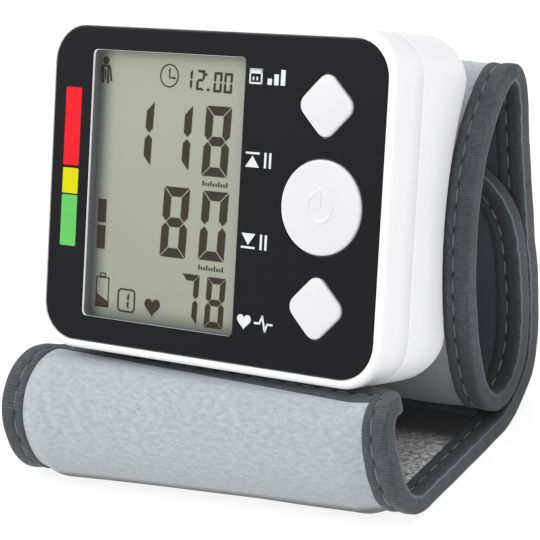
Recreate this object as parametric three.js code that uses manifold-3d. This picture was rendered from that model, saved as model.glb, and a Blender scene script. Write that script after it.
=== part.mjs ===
// Wrist blood pressure monitor: a slim display unit on the wrapped cuff that it stands on.
// Units are millimetres. The unit is drawn upright, with x to the right, y to the back and z up
// from the centre of the face panel, and is then leaned back until the cuff's tail lies flat.

import * as THREE from 'three';
import { mergeVertices } from 'three/addons/utils/BufferGeometryUtils.js';
import Module from 'manifold-3d';

const wasm = await Module();
wasm.setup();

// Fits and tolerances
const gap = 0.3;
const mergeDistance = 0.0001;
const overrun = 4;
const fineSteps = 10;
const coarseSteps = 6;

// Housing
const panelWidth = 78;
const panelHeight = 62;
const panelThickness = 0.6;
const panelRadius = 7.2;
const rimSides = 2.3;
const rimEnds = 2.1;
const caseWidth = panelWidth + 2 * rimSides;
const caseHeight = panelHeight + 2 * rimEnds;
const caseRadius = panelRadius + rimEnds;
const frontEdgeRound = 1.1;
const frontWall = 1;
const sideWall = 1.5;
const partingDepth = 8.6;
const rearMidDepth = 20.1;
const rearSag = 3.9;
const rearSagHeight = 23.7;
const rearLowest = -4;
const rearCornerRadius = 7.8;
const sideTaperStart = 14.5;
const sideTaper = 0.9;

// Display
const windowWidth = 37.3;
const windowHeight = 52.8;
const windowRadius = 1;
const windowX = -11.1;
const windowZ = 0.3;
const glassMargin = 2;
const glassThickness = 1.6;
const holderWall = 1.4;
const holderBack = 0.5;

// Buttons
const buttonX = 26.2;
const startRadius = 8.8;
const smallButtonOffset = 18.6;
const smallButtonReach = 5.9;
const smallButtonRadius = 1.5;
const buttonProud = 1;
const buttonEdge = 0.4;
const flangeWidth = 1;
const flangeThickness = 0.7;
const buttonTravel = 0.7;
const switchSide = 4.5;
const switchHeight = 1;

// Board and screws
const boardWidth = 66;
const boardHeight = 56;
const boardThickness = 1.2;
const boardNotch = 5.6;
const bossRadius = 2.6;
const bossX = 35.4;
const bossZ = 27.2;
const screwRadius = 1.1;
const screwHeadRadius = 2;
const screwHeadHeight = 1.2;

// Battery bay: two cells side by side, put in through the left side
const cellLength = 44.5;
const cellRadius = 5.25;
const nippleLength = 1;
const nippleRadius = 2;
const cellSpacing = 2 * cellRadius + gap;
const trayWall = 0.8;
const contactThickness = 0.4;
const contactSpace = 1.8;
const coverWall = 1.4;
const coverRim = 1.2;
const coverTravel = 12;

// Air parts
const pumpRadius = 5.5;
const pumpLength = 17;
const pumpHeadSide = 11.4;
const pumpHeadLength = 8.5;
const valveRadius = 4.8;
const valveLength = 11;
const manifoldSide = 7;
const manifoldLength = 4.4;
const tubeRadius = 1.6;
const tubeRoom = 2.5;
const tubeBend = 2.1;
const tubeLeadShare = 0.4;
const tubeSteps = 20;
const sensorWidth = 7.5;
const sensorDepth = 3.6;
const sensorX = 14;
const sensorZ = 21;

// Cuff
const cuffWidth = 91.6;
const bandThickness = 3.6;
const bindingWidth = 5.6;
const velourThickness = 0.9;
const liningThickness = 0.8;
const loopDepth = 25.2;
const loopHeight = 65.9;
const endRadius = 17;
const pathSteps = 110;
const endShare = 0.14;
const bladderShares = [0.3, 0.56];
const shellGapShare = 0.005;
const bindingGapShare = 0.002;
const cuffSeat = 0.5;

// Centre line of the wound band from its inner end to the crease, as shares of the loop's
// depth behind the unit's back and of its height from the panel's centre
const loopShares = [
  [0.528, 0.162], [0.641, 0.018], [0.722, -0.074], [0.813, -0.17], [0.876, -0.276],
  [0.892, -0.387], [0.84, -0.466], [0.735, -0.526], [0.61, -0.555], [0.472, -0.557],
  [0.341, -0.525], [0.238, -0.47], [0.151, -0.398], [0.087, -0.319], [0.032, -0.212],
  [0, -0.061], [0.02, 0.076], [0.103, 0.205], [0.222, 0.3], [0.341, 0.373],
  [0.472, 0.41], [0.582, 0.388], [0.646, 0.319], [0.712, 0.203], [0.824, 0.027],
  [0.895, -0.085], [0.972, -0.17], [1.03, -0.276], [1.05, -0.39], [1.012, -0.476],
  [0.9, -0.542], [0.825, -0.578],
];

// Tail: from the crease down to the table, flat to the front, then curled up and over under
// the unit. The unit leans back and a little to the right on it, so its two edges differ.
// Each curls up from a place behind the housing's lower front edge, over a reach to the front,
// comes back over its top to a height below that edge and ends in a straight hook.
const tailEdges = {
  left: { behind: 1.8, reach: 10.4, back: 10.4, below: 3.9, hook: 6 },
  right: { behind: 3.3, reach: 8.9, back: 7.8, below: 1.8, hook: 4.8 },
};
const tailSettle = 22;
const curlPast = THREE.MathUtils.degToRad(26);
const lean = THREE.MathUtils.degToRad(22.7);
const sideTilt = THREE.MathUtils.degToRad(2.6);
const tiltHeight = 10;
const tailSteps = 56;
const tailGapShare = 0.004;

// Depths behind the panel's front
const wallBack = panelThickness + gap + frontWall;
const glassFront = wallBack + gap;
const boardFront = glassFront + glassThickness + gap + holderBack + gap;
const boardBack = boardFront + boardThickness;
const cellDepth = boardBack + gap + trayWall + gap / 2 + cellRadius;
const airDepth = cellDepth - gap;
const screwHeadSeat = 2 * sideWall;

// Materials
const materials = {
  white: new THREE.MeshStandardMaterial({ color: '#f2f2f5', roughness: 0.35 }),
  black: new THREE.MeshStandardMaterial({ color: '#262629', roughness: 0.3 }),
  display: new THREE.MeshStandardMaterial({ color: '#b2b6a5', roughness: 0.25 }),
  grey: new THREE.MeshStandardMaterial({ color: '#c8ccd0', roughness: 0.5 }),
  board: new THREE.MeshStandardMaterial({ color: '#1f6b43', roughness: 0.55 }),
  metal: new THREE.MeshStandardMaterial({ color: '#b9bcc0', roughness: 0.3, metalness: 0.9 }),
  cell: new THREE.MeshStandardMaterial({ color: '#3c4653', roughness: 0.35, metalness: 0.3 }),
  rubber: new THREE.MeshStandardMaterial({ color: '#d9d9d4', roughness: 0.7 }),
  velour: new THREE.MeshStandardMaterial({ color: '#bec5ca', roughness: 0.95 }),
  lining: new THREE.MeshStandardMaterial({ color: '#3c424a', roughness: 0.9 }),
  tape: new THREE.MeshStandardMaterial({ color: '#4b5054', roughness: 0.85 }),
  hooks: new THREE.MeshStandardMaterial({ color: '#77736f', roughness: 0.95 }),
};

const monitor = new THREE.Group();
const tilted = new THREE.Group().add(monitor);
const object = new THREE.Group().add(tilted);

// A closed geometry as a solid that can be cut and joined.
function solid(geometry) {
  const bare = geometry.clone();
  for (const name of Object.keys(bare.attributes)) if (name !== 'position') bare.deleteAttribute(name);
  const merged = mergeVertices(bare, mergeDistance);
  return new wasm.Manifold(new wasm.Mesh({
    numProp: 3,
    vertProperties: new Float32Array(merged.attributes.position.array),
    triVerts: new Uint32Array(merged.index.array),
  }));
}

// A solid as a named mesh in a group.
function add(name, body, material, group = monitor) {
  const { vertProperties, triVerts } = body.getMesh();
  const geometry = new THREE.BufferGeometry();
  geometry.setAttribute('position', new THREE.BufferAttribute(vertProperties, 3));
  geometry.setIndex(new THREE.BufferAttribute(triVerts, 1));
  const flat = geometry.toNonIndexed();
  flat.computeVertexNormals();
  const mesh = new THREE.Mesh(flat, material);
  mesh.name = name;
  group.add(mesh);
  return mesh;
}

function roundedRectangle(width, height, radius, x = 0, y = 0) {
  const [right, top] = [width / 2 - radius, height / 2 - radius];
  const shape = new THREE.Shape();
  shape.absarc(x + right, y + top, radius, 0, Math.PI / 2);
  shape.absarc(x - right, y + top, radius, Math.PI / 2, Math.PI);
  shape.absarc(x - right, y - top, radius, Math.PI, 1.5 * Math.PI);
  shape.absarc(x + right, y - top, radius, 1.5 * Math.PI, 2 * Math.PI);
  shape.closePath();
  return shape;
}

function disc(radius, x = 0, y = 0) {
  return new THREE.Shape().absarc(x, y, radius, 0, 2 * Math.PI);
}

// A front view outline, in x and z, given depth from front to back.
function slab(shape, front, back, steps = coarseSteps) {
  const geometry = new THREE.ExtrudeGeometry(shape, {
    depth: back - front, bevelEnabled: false, curveSegments: steps });
  return solid(geometry.rotateX(Math.PI / 2).translate(0, back, 0));
}

// A side view outline, in y and z, given width from left to right.
function bar(shape, left, right, steps = coarseSteps) {
  const geometry = new THREE.ExtrudeGeometry(shape, {
    depth: right - left, bevelEnabled: false, curveSegments: steps });
  const turn = new THREE.Matrix4().makeBasis(
    new THREE.Vector3(0, 1, 0), new THREE.Vector3(0, 0, 1), new THREE.Vector3(1, 0, 0));
  return solid(geometry.applyMatrix4(turn).translate(left, 0, 0));
}

// A top view outline, in x and y, given height from bottom to top.
function prism(shape, bottom, top, steps = coarseSteps) {
  const geometry = new THREE.ExtrudeGeometry(shape, {
    depth: top - bottom, bevelEnabled: false, curveSegments: steps });
  return solid(geometry.translate(0, 0, bottom));
}

function block(left, right, front, back, bottom, top) {
  const box = new THREE.BoxGeometry(right - left, back - front, top - bottom);
  return solid(box.translate((left + right) / 2, (front + back) / 2, (bottom + top) / 2));
}

// Depth of the hollowed rear face at a height.
function rearAt(z) {
  return rearMidDepth + rearSag * ((z - rearLowest) / rearSagHeight) ** 2;
}

// Half of a rounded corner of the side view, from one side of the rear face to the end wall.
function corner(z, inset, from, to) {
  return Array.from({ length: coarseSteps + 1 }, (_, i) => {
    const turn = from + (to - from) * i / coarseSteps;
    return new THREE.Vector2(
      rearAt(z) - inset - rearCornerRadius * (1 - Math.cos(turn)), z + rearCornerRadius * Math.sin(turn));
  });
}

// Housing form from a depth to the back, drawn in by an inset all round.
function housing(inset, front) {
  const width = caseWidth - 2 * inset;
  const height = caseHeight - 2 * inset;
  const deepest = rearAt(caseHeight / 2) + overrun;
  const cornerZ = height / 2 - rearCornerRadius;
  const rear = Array.from({ length: fineSteps - 1 }, (_, i) => {
    const z = cornerZ * (2 * (i + 1) / fineSteps - 1);
    return new THREE.Vector2(rearAt(z) - inset, z);
  });
  const side = new THREE.Shape([
    new THREE.Vector2(front - overrun, -height / 2),
    ...corner(-cornerZ, inset, -Math.PI / 2, 0), ...rear, ...corner(cornerZ, inset, 0, Math.PI / 2),
    new THREE.Vector2(front - overrun, height / 2),
  ]);
  const taperX = width / 2 - sideTaper;
  const plan = new THREE.Shape([
    [-width / 2, front - overrun], [width / 2, front - overrun], [width / 2, sideTaperStart],
    [taperX, deepest], [-taperX, deepest], [-width / 2, sideTaperStart],
  ].map(([x, y]) => new THREE.Vector2(x, y)));
  return slab(roundedRectangle(width, height, caseRadius - inset), front, deepest)
    .intersect(bar(side, -caseWidth, caseWidth))
    .intersect(prism(plan, -caseHeight, caseHeight));
}

// Front rim: the housing's outline with its front edge rounded over.
function roundedFront() {
  const shape = roundedRectangle(caseWidth - 2 * frontEdgeRound, caseHeight - 2 * frontEdgeRound,
    caseRadius - frontEdgeRound);
  const geometry = new THREE.ExtrudeGeometry(shape, {
    depth: partingDepth, bevelEnabled: true, bevelSize: frontEdgeRound,
    bevelThickness: frontEdgeRound, bevelSegments: coarseSteps / 2, curveSegments: coarseSteps });
  return solid(geometry.rotateX(Math.PI / 2).translate(0, partingDepth + frontEdgeRound, 0))
    .intersect(block(-caseWidth, caseWidth, -overrun, partingDepth - gap / 2, -caseHeight, caseHeight));
}

// Places worked out from the sizes
const panelShape = roundedRectangle(panelWidth, panelHeight, panelRadius);
const windowShape = roundedRectangle(windowWidth, windowHeight, windowRadius, windowX, windowZ);
const buttons = [
  { name: 'memory_button', z: smallButtonOffset },
  { name: 'start_button', z: 0, round: true },
  { name: 'set_button', z: -smallButtonOffset },
];

// A button's outline grown by a margin: round, or a square stood on its corner.
function buttonShape({ z, round }, margin = 0) {
  if (round) return disc(startRadius + margin, buttonX, z);
  const side = Math.SQRT2 * (smallButtonReach + smallButtonRadius * (Math.SQRT2 - 1)) + 2 * margin;
  const points = roundedRectangle(side, side, smallButtonRadius + margin).getPoints(coarseSteps);
  return new THREE.Shape(points.slice(0, -1).map(
    (point) => point.rotateAround(new THREE.Vector2(), Math.PI / 4).add(new THREE.Vector2(buttonX, z))));
}

const bosses = [[-1, -1], [1, -1], [-1, 1], [1, 1]].map(([x, z]) => [x * bossX, z * bossZ]);
const trayLeft = -caseWidth / 2 + coverWall + gap + contactThickness + gap;
const cellLeft = trayLeft + contactSpace;
const cellRight = cellLeft + cellLength + nippleLength;
const trayRight = cellRight + contactSpace + gap + contactThickness + trayWall;
const trayHalf = cellSpacing / 2 + cellRadius + gap;
const coverFront = cellDepth - cellRadius - gap;
const coverBack = cellDepth + cellRadius + gap;
const tubeX = trayRight + tubeRoom + tubeRadius;
const airX = tubeX + tubeRadius + tubeBend + pumpHeadSide / 2;

function makeFaceParts() {
  let panel = slab(panelShape, 0, panelThickness).subtract(slab(windowShape, -overrun, overrun));
  for (const button of buttons) {
    panel = panel.subtract(slab(buttonShape(button, gap), -overrun, overrun, fineSteps));
  }
  add('face_panel', panel, materials.black);

  const pocket = roundedRectangle(panelWidth + 2 * gap, panelHeight + 2 * gap, panelRadius + gap);
  let front = roundedFront()
    .subtract(slab(pocket, -overrun, panelThickness + gap))
    .subtract(housing(sideWall, wallBack))
    .subtract(slab(windowShape, -overrun, overrun));
  for (const button of buttons) {
    front = front.subtract(slab(buttonShape(button, gap), -overrun, overrun, fineSteps));
  }
  for (const [x, z] of bosses) {
    const boss = slab(disc(bossRadius, x, z), wallBack - gap, partingDepth - gap / 2);
    front = front.add(boss.intersect(housing(sideWall - gap, 0)))
      .subtract(slab(disc(screwRadius + gap / 2, x, z), wallBack + gap, partingDepth + overrun));
  }
  front = front.subtract(coverCutter());
  add('front_case', front, materials.white);

  for (const button of buttons) {
    const cap = slab(buttonShape(button), -buttonProud + buttonEdge, glassFront + gap, fineSteps);
    const crown = slab(buttonShape(button, -buttonEdge), -buttonProud, -buttonProud + 2 * buttonEdge,
      fineSteps);
    const flange = slab(buttonShape(button, flangeWidth), glassFront, glassFront + flangeThickness,
      fineSteps);
    add(button.name, cap.add(crown).add(flange), materials.white);
  }
}

function makeDisplay() {
  const glassWidth = windowWidth + 2 * glassMargin;
  const glassHeight = windowHeight + 2 * glassMargin;
  const frameWidth = glassWidth + 2 * (gap + holderWall);
  const frameHeight = glassHeight + 2 * gap;
  const rectangle = (width, height) => roundedRectangle(width, height, windowRadius, windowX, windowZ);
  add('display_glass', slab(rectangle(glassWidth, glassHeight), glassFront, glassFront + glassThickness),
    materials.display);
  const holderEnd = glassFront + glassThickness + gap + holderBack;
  let holder = slab(rectangle(frameWidth, frameHeight), glassFront, holderEnd)
    .subtract(slab(rectangle(glassWidth + 2 * gap, frameHeight + overrun), 0, holderEnd - holderBack))
    .subtract(slab(windowShape, 0, holderEnd + overrun));
  for (const [x, z] of bosses) holder = holder.subtract(slab(disc(bossRadius + gap, x, z), 0, holderEnd));
  add('display_holder', holder, materials.grey);

  let board = slab(roundedRectangle(boardWidth, boardHeight, windowRadius), boardFront, boardBack);
  for (const [x, z] of bosses) {
    board = board.subtract(slab(disc(boardNotch, x, z), 0, partingDepth));
  }
  add('main_board', board, materials.board);
  for (const button of buttons) {
    const front = glassFront + flangeThickness + buttonTravel + gap / 2;
    add(button.name.replace('button', 'switch'), block(buttonX - switchSide / 2, buttonX + switchSide / 2,
      front, boardFront - gap / 2, button.z - switchSide / 2, button.z + switchSide / 2), materials.metal);
  }
}

// The opening for the battery cover in the left side wall.
function coverCutter(clearance = gap) {
  return block(-caseWidth, cellLeft, coverFront - clearance, coverBack + clearance,
    -trayHalf - clearance, trayHalf + clearance);
}

function makeRearCase() {
  let rear = housing(0, partingDepth + gap / 2).subtract(housing(sideWall, partingDepth - overrun));
  for (const [x, z] of bosses) {
    const boss = slab(disc(bossRadius, x, z), partingDepth + gap / 2, rearAt(z) + overrun);
    rear = rear.add(boss.intersect(housing(sideWall - gap, 0)))
      .subtract(slab(disc(screwRadius + gap, x, z), 0, rearAt(z) + overrun))
      .subtract(slab(disc(screwHeadRadius + gap, x, z), rearAt(z) - screwHeadSeat, rearAt(z) + overrun));
  }
  rear = rear.subtract(coverCutter()).subtract(slab(disc(tubeRadius + gap, tubeX, 0), 0, 2 * rearMidDepth));
  add('rear_case', rear, materials.white);
  bosses.forEach(([x, z], index) => {
    const seat = rearAt(z) - screwHeadSeat - gap;
    const shank = slab(disc(screwRadius, x, z), wallBack + 2 * gap, seat + screwHeadHeight / 2);
    add(`case_screw_${index + 1}`, shank.add(slab(disc(screwHeadRadius, x, z), seat, seat + screwHeadHeight)
      .translate(0, gap, 0)), materials.metal);
  });
}

function makeBatteryBay() {
  const tray = block(trayLeft, trayRight, cellDepth - cellRadius - gap / 2 - trayWall,
    cellDepth + cellRadius, -trayHalf - trayWall, trayHalf + trayWall)
    .subtract(block(trayLeft - overrun, trayRight - trayWall, cellDepth - cellRadius - gap / 2,
      cellDepth + 2 * cellRadius, -trayHalf, trayHalf));
  add('battery_tray', tray, materials.grey);
  for (const side of [-1, 1]) {
    const z = side * cellSpacing / 2;
    const name = side < 0 ? 'lower' : 'upper';
    const [from, to] = side < 0 ? [cellLeft, cellRight - nippleLength] : [cellLeft + nippleLength, cellRight];
    const can = bar(disc(cellRadius, cellDepth, z), from, to, fineSteps);
    const end = bar(disc(nippleRadius, cellDepth, z), side < 0 ? to - gap : cellLeft,
      side < 0 ? cellRight : from + gap, coarseSteps);
    add(`${name}_cell`, can.add(end), materials.cell);
    const plate = trayRight - trayWall - gap / 2;
    const spring = block(cellRight + gap / 2, plate - contactThickness / 2, cellDepth - nippleRadius,
      cellDepth + nippleRadius, z - contactThickness, z + contactThickness);
    add(`${name}_contact`, block(plate - contactThickness, plate, cellDepth - cellRadius / 2,
      cellDepth + cellRadius / 2, z - cellRadius / 2, z + cellRadius / 2).add(spring), materials.metal);
  }
  const outside = -caseWidth / 2;
  const cover = block(outside, outside + coverWall, coverFront, coverBack, -trayHalf, trayHalf)
    .intersect(housing(0, 0))
    .subtract(block(outside - overrun, outside + coverWall / 2, cellDepth - coverRim / 2,
      cellDepth + coverRim / 2, -trayHalf / 2, trayHalf / 2));
  add('battery_cover', cover, materials.white);
  const inside = outside + coverWall + gap / 2;
  add('cover_contact', block(inside, inside + contactThickness, cellDepth - cellRadius / 2,
    cellDepth + cellRadius / 2, -cellSpacing / 2 - nippleRadius, cellSpacing / 2 + nippleRadius)
    .add(block(inside, cellLeft - gap / 2, cellDepth - nippleRadius, cellDepth + nippleRadius,
      -cellSpacing / 2 - contactThickness, -cellSpacing / 2 + contactThickness))
    .add(block(inside, cellLeft - gap / 2, cellDepth - nippleRadius, cellDepth + nippleRadius,
      cellSpacing / 2 - contactThickness, cellSpacing / 2 + contactThickness)), materials.metal);
}

function makeAirParts() {
  const square = (side) => [airX - side / 2, airX + side / 2, airDepth - side / 2, airDepth + side / 2];
  const round = (radius, bottom, top) => prism(disc(radius, airX, airDepth), bottom, top, fineSteps);
  const manifoldBottom = -manifoldLength / 2;
  const headTop = manifoldBottom - gap;
  const headBottom = headTop - pumpHeadLength;
  const valveBottom = -manifoldBottom + gap;
  add('pump_motor', round(pumpRadius, headBottom - gap - pumpLength, headBottom - gap), materials.metal);
  add('pump_head', block(...square(pumpHeadSide), headBottom, headTop), materials.black);
  const body = block(...square(manifoldSide), manifoldBottom, -manifoldBottom);
  add('air_manifold', body, materials.grey);
  add('exhaust_valve', round(valveRadius, valveBottom, valveBottom + valveLength)
    .add(round(tubeRadius, valveBottom + valveLength - gap, valveBottom + valveLength + nippleLength)),
  materials.metal);
  const route = new THREE.CurvePath();
  const start = new THREE.Vector3(airX - manifoldSide / 2 - gap, airDepth, 0);
  const bend = new THREE.Vector3(tubeX, airDepth, 0);
  const end = new THREE.Vector3(tubeX, bandPoint(cuffPath, frontShare, coreOuter).x - gap, 0);
  route.add(new THREE.LineCurve3(start, start.clone().lerp(bend, tubeLeadShare)));
  route.add(new THREE.QuadraticBezierCurve3(start.clone().lerp(bend, tubeLeadShare), bend,
    bend.clone().lerp(end, 1 - tubeLeadShare)));
  route.add(new THREE.LineCurve3(bend.clone().lerp(end, 1 - tubeLeadShare), end));
  const section = new THREE.Shape(disc(tubeRadius).getPoints(coarseSteps / 2).slice(0, -1));
  add('air_tube', solid(new THREE.ExtrudeGeometry(section, {
    steps: tubeSteps, extrudePath: route, bevelEnabled: false })), materials.rubber);
  const sensorFront = boardBack + gap;
  add('pressure_sensor', block(sensorX - sensorWidth / 2, sensorX + sensorWidth / 2, sensorFront,
    sensorFront + sensorDepth, sensorZ - sensorWidth / 2, sensorZ + sensorWidth / 2)
    .add(slab(disc(tubeRadius, sensorX, sensorZ), sensorFront + gap, sensorFront + 2 * sensorDepth)),
  materials.black);
}

// A point beside a band's centre line: on the velour side where the offset is positive.
function bandPoint(path, share, offset) {
  const point = path.getPointAt(share);
  const along = path.getTangentAt(share);
  return new THREE.Vector2(point.x - along.y * offset, point.y + along.x * offset);
}

// One layer of the band between two shares of its path, and between two offsets.
function layer(path, from, to, outer, inner, left, right, steps = pathSteps) {
  const count = Math.max(2, Math.round(steps * (to - from)));
  const side = (offset) => Array.from({ length: count + 1 },
    (_, i) => bandPoint(path, from + (to - from) * i / count, offset));
  return bar(new THREE.Shape([...side(outer), ...side(inner).reverse()]), left, right);
}

const outerFace = bandThickness / 2;
const velourInner = outerFace - velourThickness;
const coreOuter = velourInner - gap;
const liningOuter = -outerFace + liningThickness;
const coreInner = liningOuter + gap;
const cuffHalf = cuffWidth / 2;
const layerHalf = cuffHalf - bindingWidth - gap;
const wallY = rearMidDepth + cuffSeat + outerFace;
const cuffPath = new THREE.SplineCurve(loopShares.map(
  ([y, z]) => new THREE.Vector2(wallY + y * loopDepth, z * loopHeight)));
const frontShare = nearestShare(0);

// Share of the band's path where its front wall passes a height on the way up.
function nearestShare(height) {
  const [low, high] = bladderShares;
  let best = low;
  for (let i = 0; i <= pathSteps; i++) {
    const share = low + (high - low) * i / pathSteps;
    const nearer = Math.abs(cuffPath.getPointAt(share).y - height)
      < Math.abs(cuffPath.getPointAt(best).y - height);
    if (nearer) best = share;
  }
  return best;
}

function makeCuffLoop() {
  const top = loopShares[0][1] * loopHeight;
  const outline = (inset) => slab(roundedRectangle(cuffWidth - 2 * inset, 2 * loopHeight - 2 * inset,
    endRadius - inset, 0, top - loopHeight), wallY, wallY + 2 * loopDepth, fineSteps);
  const strip = (outer, inner, half) => layer(cuffPath, 0, endShare, outer, inner, -half, half)
    .intersect(outline(bindingWidth + gap))
    .add(layer(cuffPath, endShare, 1, outer, inner, -half, half));
  add('cuff_velour', strip(outerFace, velourInner, layerHalf)
    .subtract(slab(disc(tubeRadius + gap, tubeX, 0), 0, wallY)), materials.velour);
  add('cuff_lining', strip(liningOuter, -outerFace, layerHalf), materials.lining);
  add('air_bladder', layer(cuffPath, ...bladderShares, coreOuter, coreInner,
    -layerHalf + bindingWidth, layerHalf - bindingWidth), materials.rubber);
  add('cuff_shell', layer(cuffPath, bladderShares[1] + shellGapShare, 1, coreOuter, coreInner,
    -layerHalf + bindingWidth, layerHalf - bindingWidth), materials.grey);
  add('end_binding', layer(cuffPath, 0, endShare, outerFace, -outerFace, -cuffHalf, cuffHalf)
    .intersect(outline(0)).subtract(outline(bindingWidth)), materials.tape);
  for (const [name, side] of [['left', -1], ['right', 1]]) {
    const [near, far] = [side * cuffHalf, side * (cuffHalf - bindingWidth)];
    add(`${name}_binding`, layer(cuffPath, endShare + bindingGapShare, 1, outerFace, -outerFace,
      Math.min(near, far), Math.max(near, far)), materials.tape);
  }
}

// A closed skin from one outline to a like one further right, both in y and z.
function loft(leftOutline, rightOutline, left, right) {
  if (THREE.ShapeUtils.isClockWise(leftOutline)) {
    for (const outline of [leftOutline, rightOutline]) outline.reverse();
  }
  const count = leftOutline.length;
  const points = [
    ...leftOutline.map(({ x, y }) => [left, x, y]), ...rightOutline.map(({ x, y }) => [right, x, y])];
  const faces = THREE.ShapeUtils.triangulateShape(leftOutline, [])
    .flatMap(([i, j, k]) => [[k, j, i], [i + count, j + count, k + count]]);
  for (let i = 0; i < count; i++) {
    const next = (i + 1) % count;
    faces.push([i, next, next + count], [i, next + count, i + count]);
  }
  const geometry = new THREE.BufferGeometry();
  const corners = faces.flat().flatMap((i) => points[i]);
  geometry.setAttribute('position', new THREE.Float32BufferAttribute(corners, 3));
  return solid(geometry);
}

// Centre line of the tail's left or right edge, in world y and z, from the crease to its end.
// The rise is how much higher the tilted unit is at that edge.
function tailPath({ behind, reach, back, below, hook }, rise) {
  const height = frontEdge.y + rise - bandThickness - below;
  const start = new THREE.Vector2(crease.x, outerFace + rise);
  const landing = new THREE.Vector2(crease.x - tailSettle, outerFace);
  const foot = new THREE.Vector2(frontEdge.x + behind, outerFace);
  const middle = new THREE.Vector2(crease.x - tailSettle / 2, outerFace);
  const quarter = Math.PI / 2;
  const rising = new THREE.EllipseCurve(foot.x, foot.y + height / 2, reach, height / 2,
    -quarter, -2 * quarter, true);
  const over = new THREE.EllipseCurve(foot.x - reach + back, foot.y + height / 2, back, height / 2,
    2 * quarter, quarter - curlPast, true);
  const past = over.getPoint(1);
  const path = new THREE.CurvePath();
  path.add(new THREE.QuadraticBezierCurve(start, middle, landing));
  path.add(new THREE.LineCurve(landing, foot));
  path.add(rising);
  path.add(over);
  path.add(new THREE.LineCurve(past, past.clone().add(over.getTangent(1).multiplyScalar(hook))));
  return path;
}

function makeTail() {
  const tail = new THREE.Group();
  object.add(tail);
  const paths = [tailPath(tailEdges.left, cuffWidth * Math.sin(sideTilt)), tailPath(tailEdges.right, 0)];
  const tape = 1 - bindingWidth / paths[1].getLength();
  const part = (name, from, to, outer, inner, left, right, material) => {
    const count = Math.round(tailSteps * (to - from));
    const [leftEdge, rightEdge] = paths.map((path) => {
      const side = (offset) => Array.from({ length: count + 1 },
        (_, i) => bandPoint(path, from + (to - from) * i / count, offset));
      return [...side(outer), ...side(inner).reverse()];
    });
    const at = (x) => leftEdge.map((point, i) => point.clone().lerp(rightEdge[i], x / cuffWidth + 1 / 2));
    add(name, loft(at(left), at(right), left, right), material, tail);
  };
  const layersEnd = tape - tailGapShare;
  part('tail_velour', 0, layersEnd, outerFace, velourInner, -layerHalf, layerHalf, materials.velour);
  part('tail_core', 0, layersEnd, coreOuter, coreInner, -layerHalf, layerHalf, materials.grey);
  part('hook_patch', 0, layersEnd, liningOuter, -outerFace, -layerHalf, layerHalf, materials.hooks);
  part('tail_end_binding', tape, 1, outerFace, -outerFace, -cuffHalf, cuffHalf, materials.tape);
  part('tail_left_binding', 0, layersEnd, outerFace, -outerFace, -cuffHalf, -cuffHalf + bindingWidth,
    materials.tape);
  part('tail_right_binding', 0, layersEnd, outerFace, -outerFace, cuffHalf - bindingWidth, cuffHalf,
    materials.tape);
}

// The crease's centre once the unit is leaned back, and the tilt about the tail's right end
const creaseUpright = bandPoint(cuffPath, 1, 0)
  .add(cuffPath.getTangentAt(1).clone().multiplyScalar(bandThickness / 2 + gap));
const crease = creaseUpright.clone().rotateAround(new THREE.Vector2(), -lean);
// Place and height above the table of the housing's lower front edge, at the unit's right end
const frontEdge = new THREE.Vector2(-caseHeight / 2 * Math.sin(lean),
  outerFace - crease.y - caseHeight / 2 * Math.cos(lean));
monitor.rotation.x = -lean;
monitor.position.set(-cuffHalf, 0, outerFace - crease.y - tiltHeight);
tilted.rotation.y = sideTilt;
tilted.position.set(cuffHalf, 0, tiltHeight);

makeFaceParts();
makeDisplay();
makeRearCase();
makeBatteryBay();
makeAirParts();
makeCuffLoop();
makeTail();

// The origin is under the middle of the whole object.
object.updateMatrixWorld(true);
const bounds = new THREE.Box3().setFromObject(object, true);
object.position.set(-(bounds.min.x + bounds.max.x) / 2, -(bounds.min.y + bounds.max.y) / 2, -bounds.min.z);

export default object;
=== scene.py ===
"""Wrist blood pressure monitor on its wound cuff: fine surfaces and finishes for the rigid frame.

Lengths are millimetres until a mesh is made. The display unit is worked out upright, with x to
the right, y to the back and z up from the middle of its face, and is leaned back into place.
"""

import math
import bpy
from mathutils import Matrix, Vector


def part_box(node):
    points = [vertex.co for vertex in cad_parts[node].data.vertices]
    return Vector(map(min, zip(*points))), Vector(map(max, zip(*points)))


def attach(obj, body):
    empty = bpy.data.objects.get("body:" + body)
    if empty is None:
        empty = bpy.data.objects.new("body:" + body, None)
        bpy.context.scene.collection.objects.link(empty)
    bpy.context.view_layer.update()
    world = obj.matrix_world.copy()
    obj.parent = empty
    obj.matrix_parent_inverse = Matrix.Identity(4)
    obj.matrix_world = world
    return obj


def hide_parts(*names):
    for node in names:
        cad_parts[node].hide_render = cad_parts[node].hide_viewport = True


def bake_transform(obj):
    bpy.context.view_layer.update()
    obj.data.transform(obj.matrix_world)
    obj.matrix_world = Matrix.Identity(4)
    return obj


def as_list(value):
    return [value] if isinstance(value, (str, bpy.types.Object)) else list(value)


bl_info = {
    "name": "Wrist blood pressure monitor",
    "version": (1, 0, 0),
    "blender": (4, 5, 0),
    "location": "3D View > Sidebar > Monitor",
    "description": "Builds the casing, display, buttons, cuff and studio of a wrist monitor",
    "category": "Add Mesh",
}

from collections import namedtuple
from functools import partialmethod

import bmesh
import bpy
import numpy as np
from bpy.props import FloatProperty, FloatVectorProperty, PointerProperty
from mathutils import Matrix, Vector

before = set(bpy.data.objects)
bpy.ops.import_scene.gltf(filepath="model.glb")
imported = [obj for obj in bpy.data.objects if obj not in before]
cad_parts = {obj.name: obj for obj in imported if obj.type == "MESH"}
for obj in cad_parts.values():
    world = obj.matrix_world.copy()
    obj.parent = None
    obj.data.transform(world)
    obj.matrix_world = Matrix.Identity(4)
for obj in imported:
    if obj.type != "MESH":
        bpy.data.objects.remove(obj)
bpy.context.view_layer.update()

MM = 0.001
QUARTER = math.pi / 2
MERGE = 0.004

# Attitude of the unit on the table
LEAN, SIDE_TILT = math.radians(22.7), math.radians(2.6)

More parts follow.
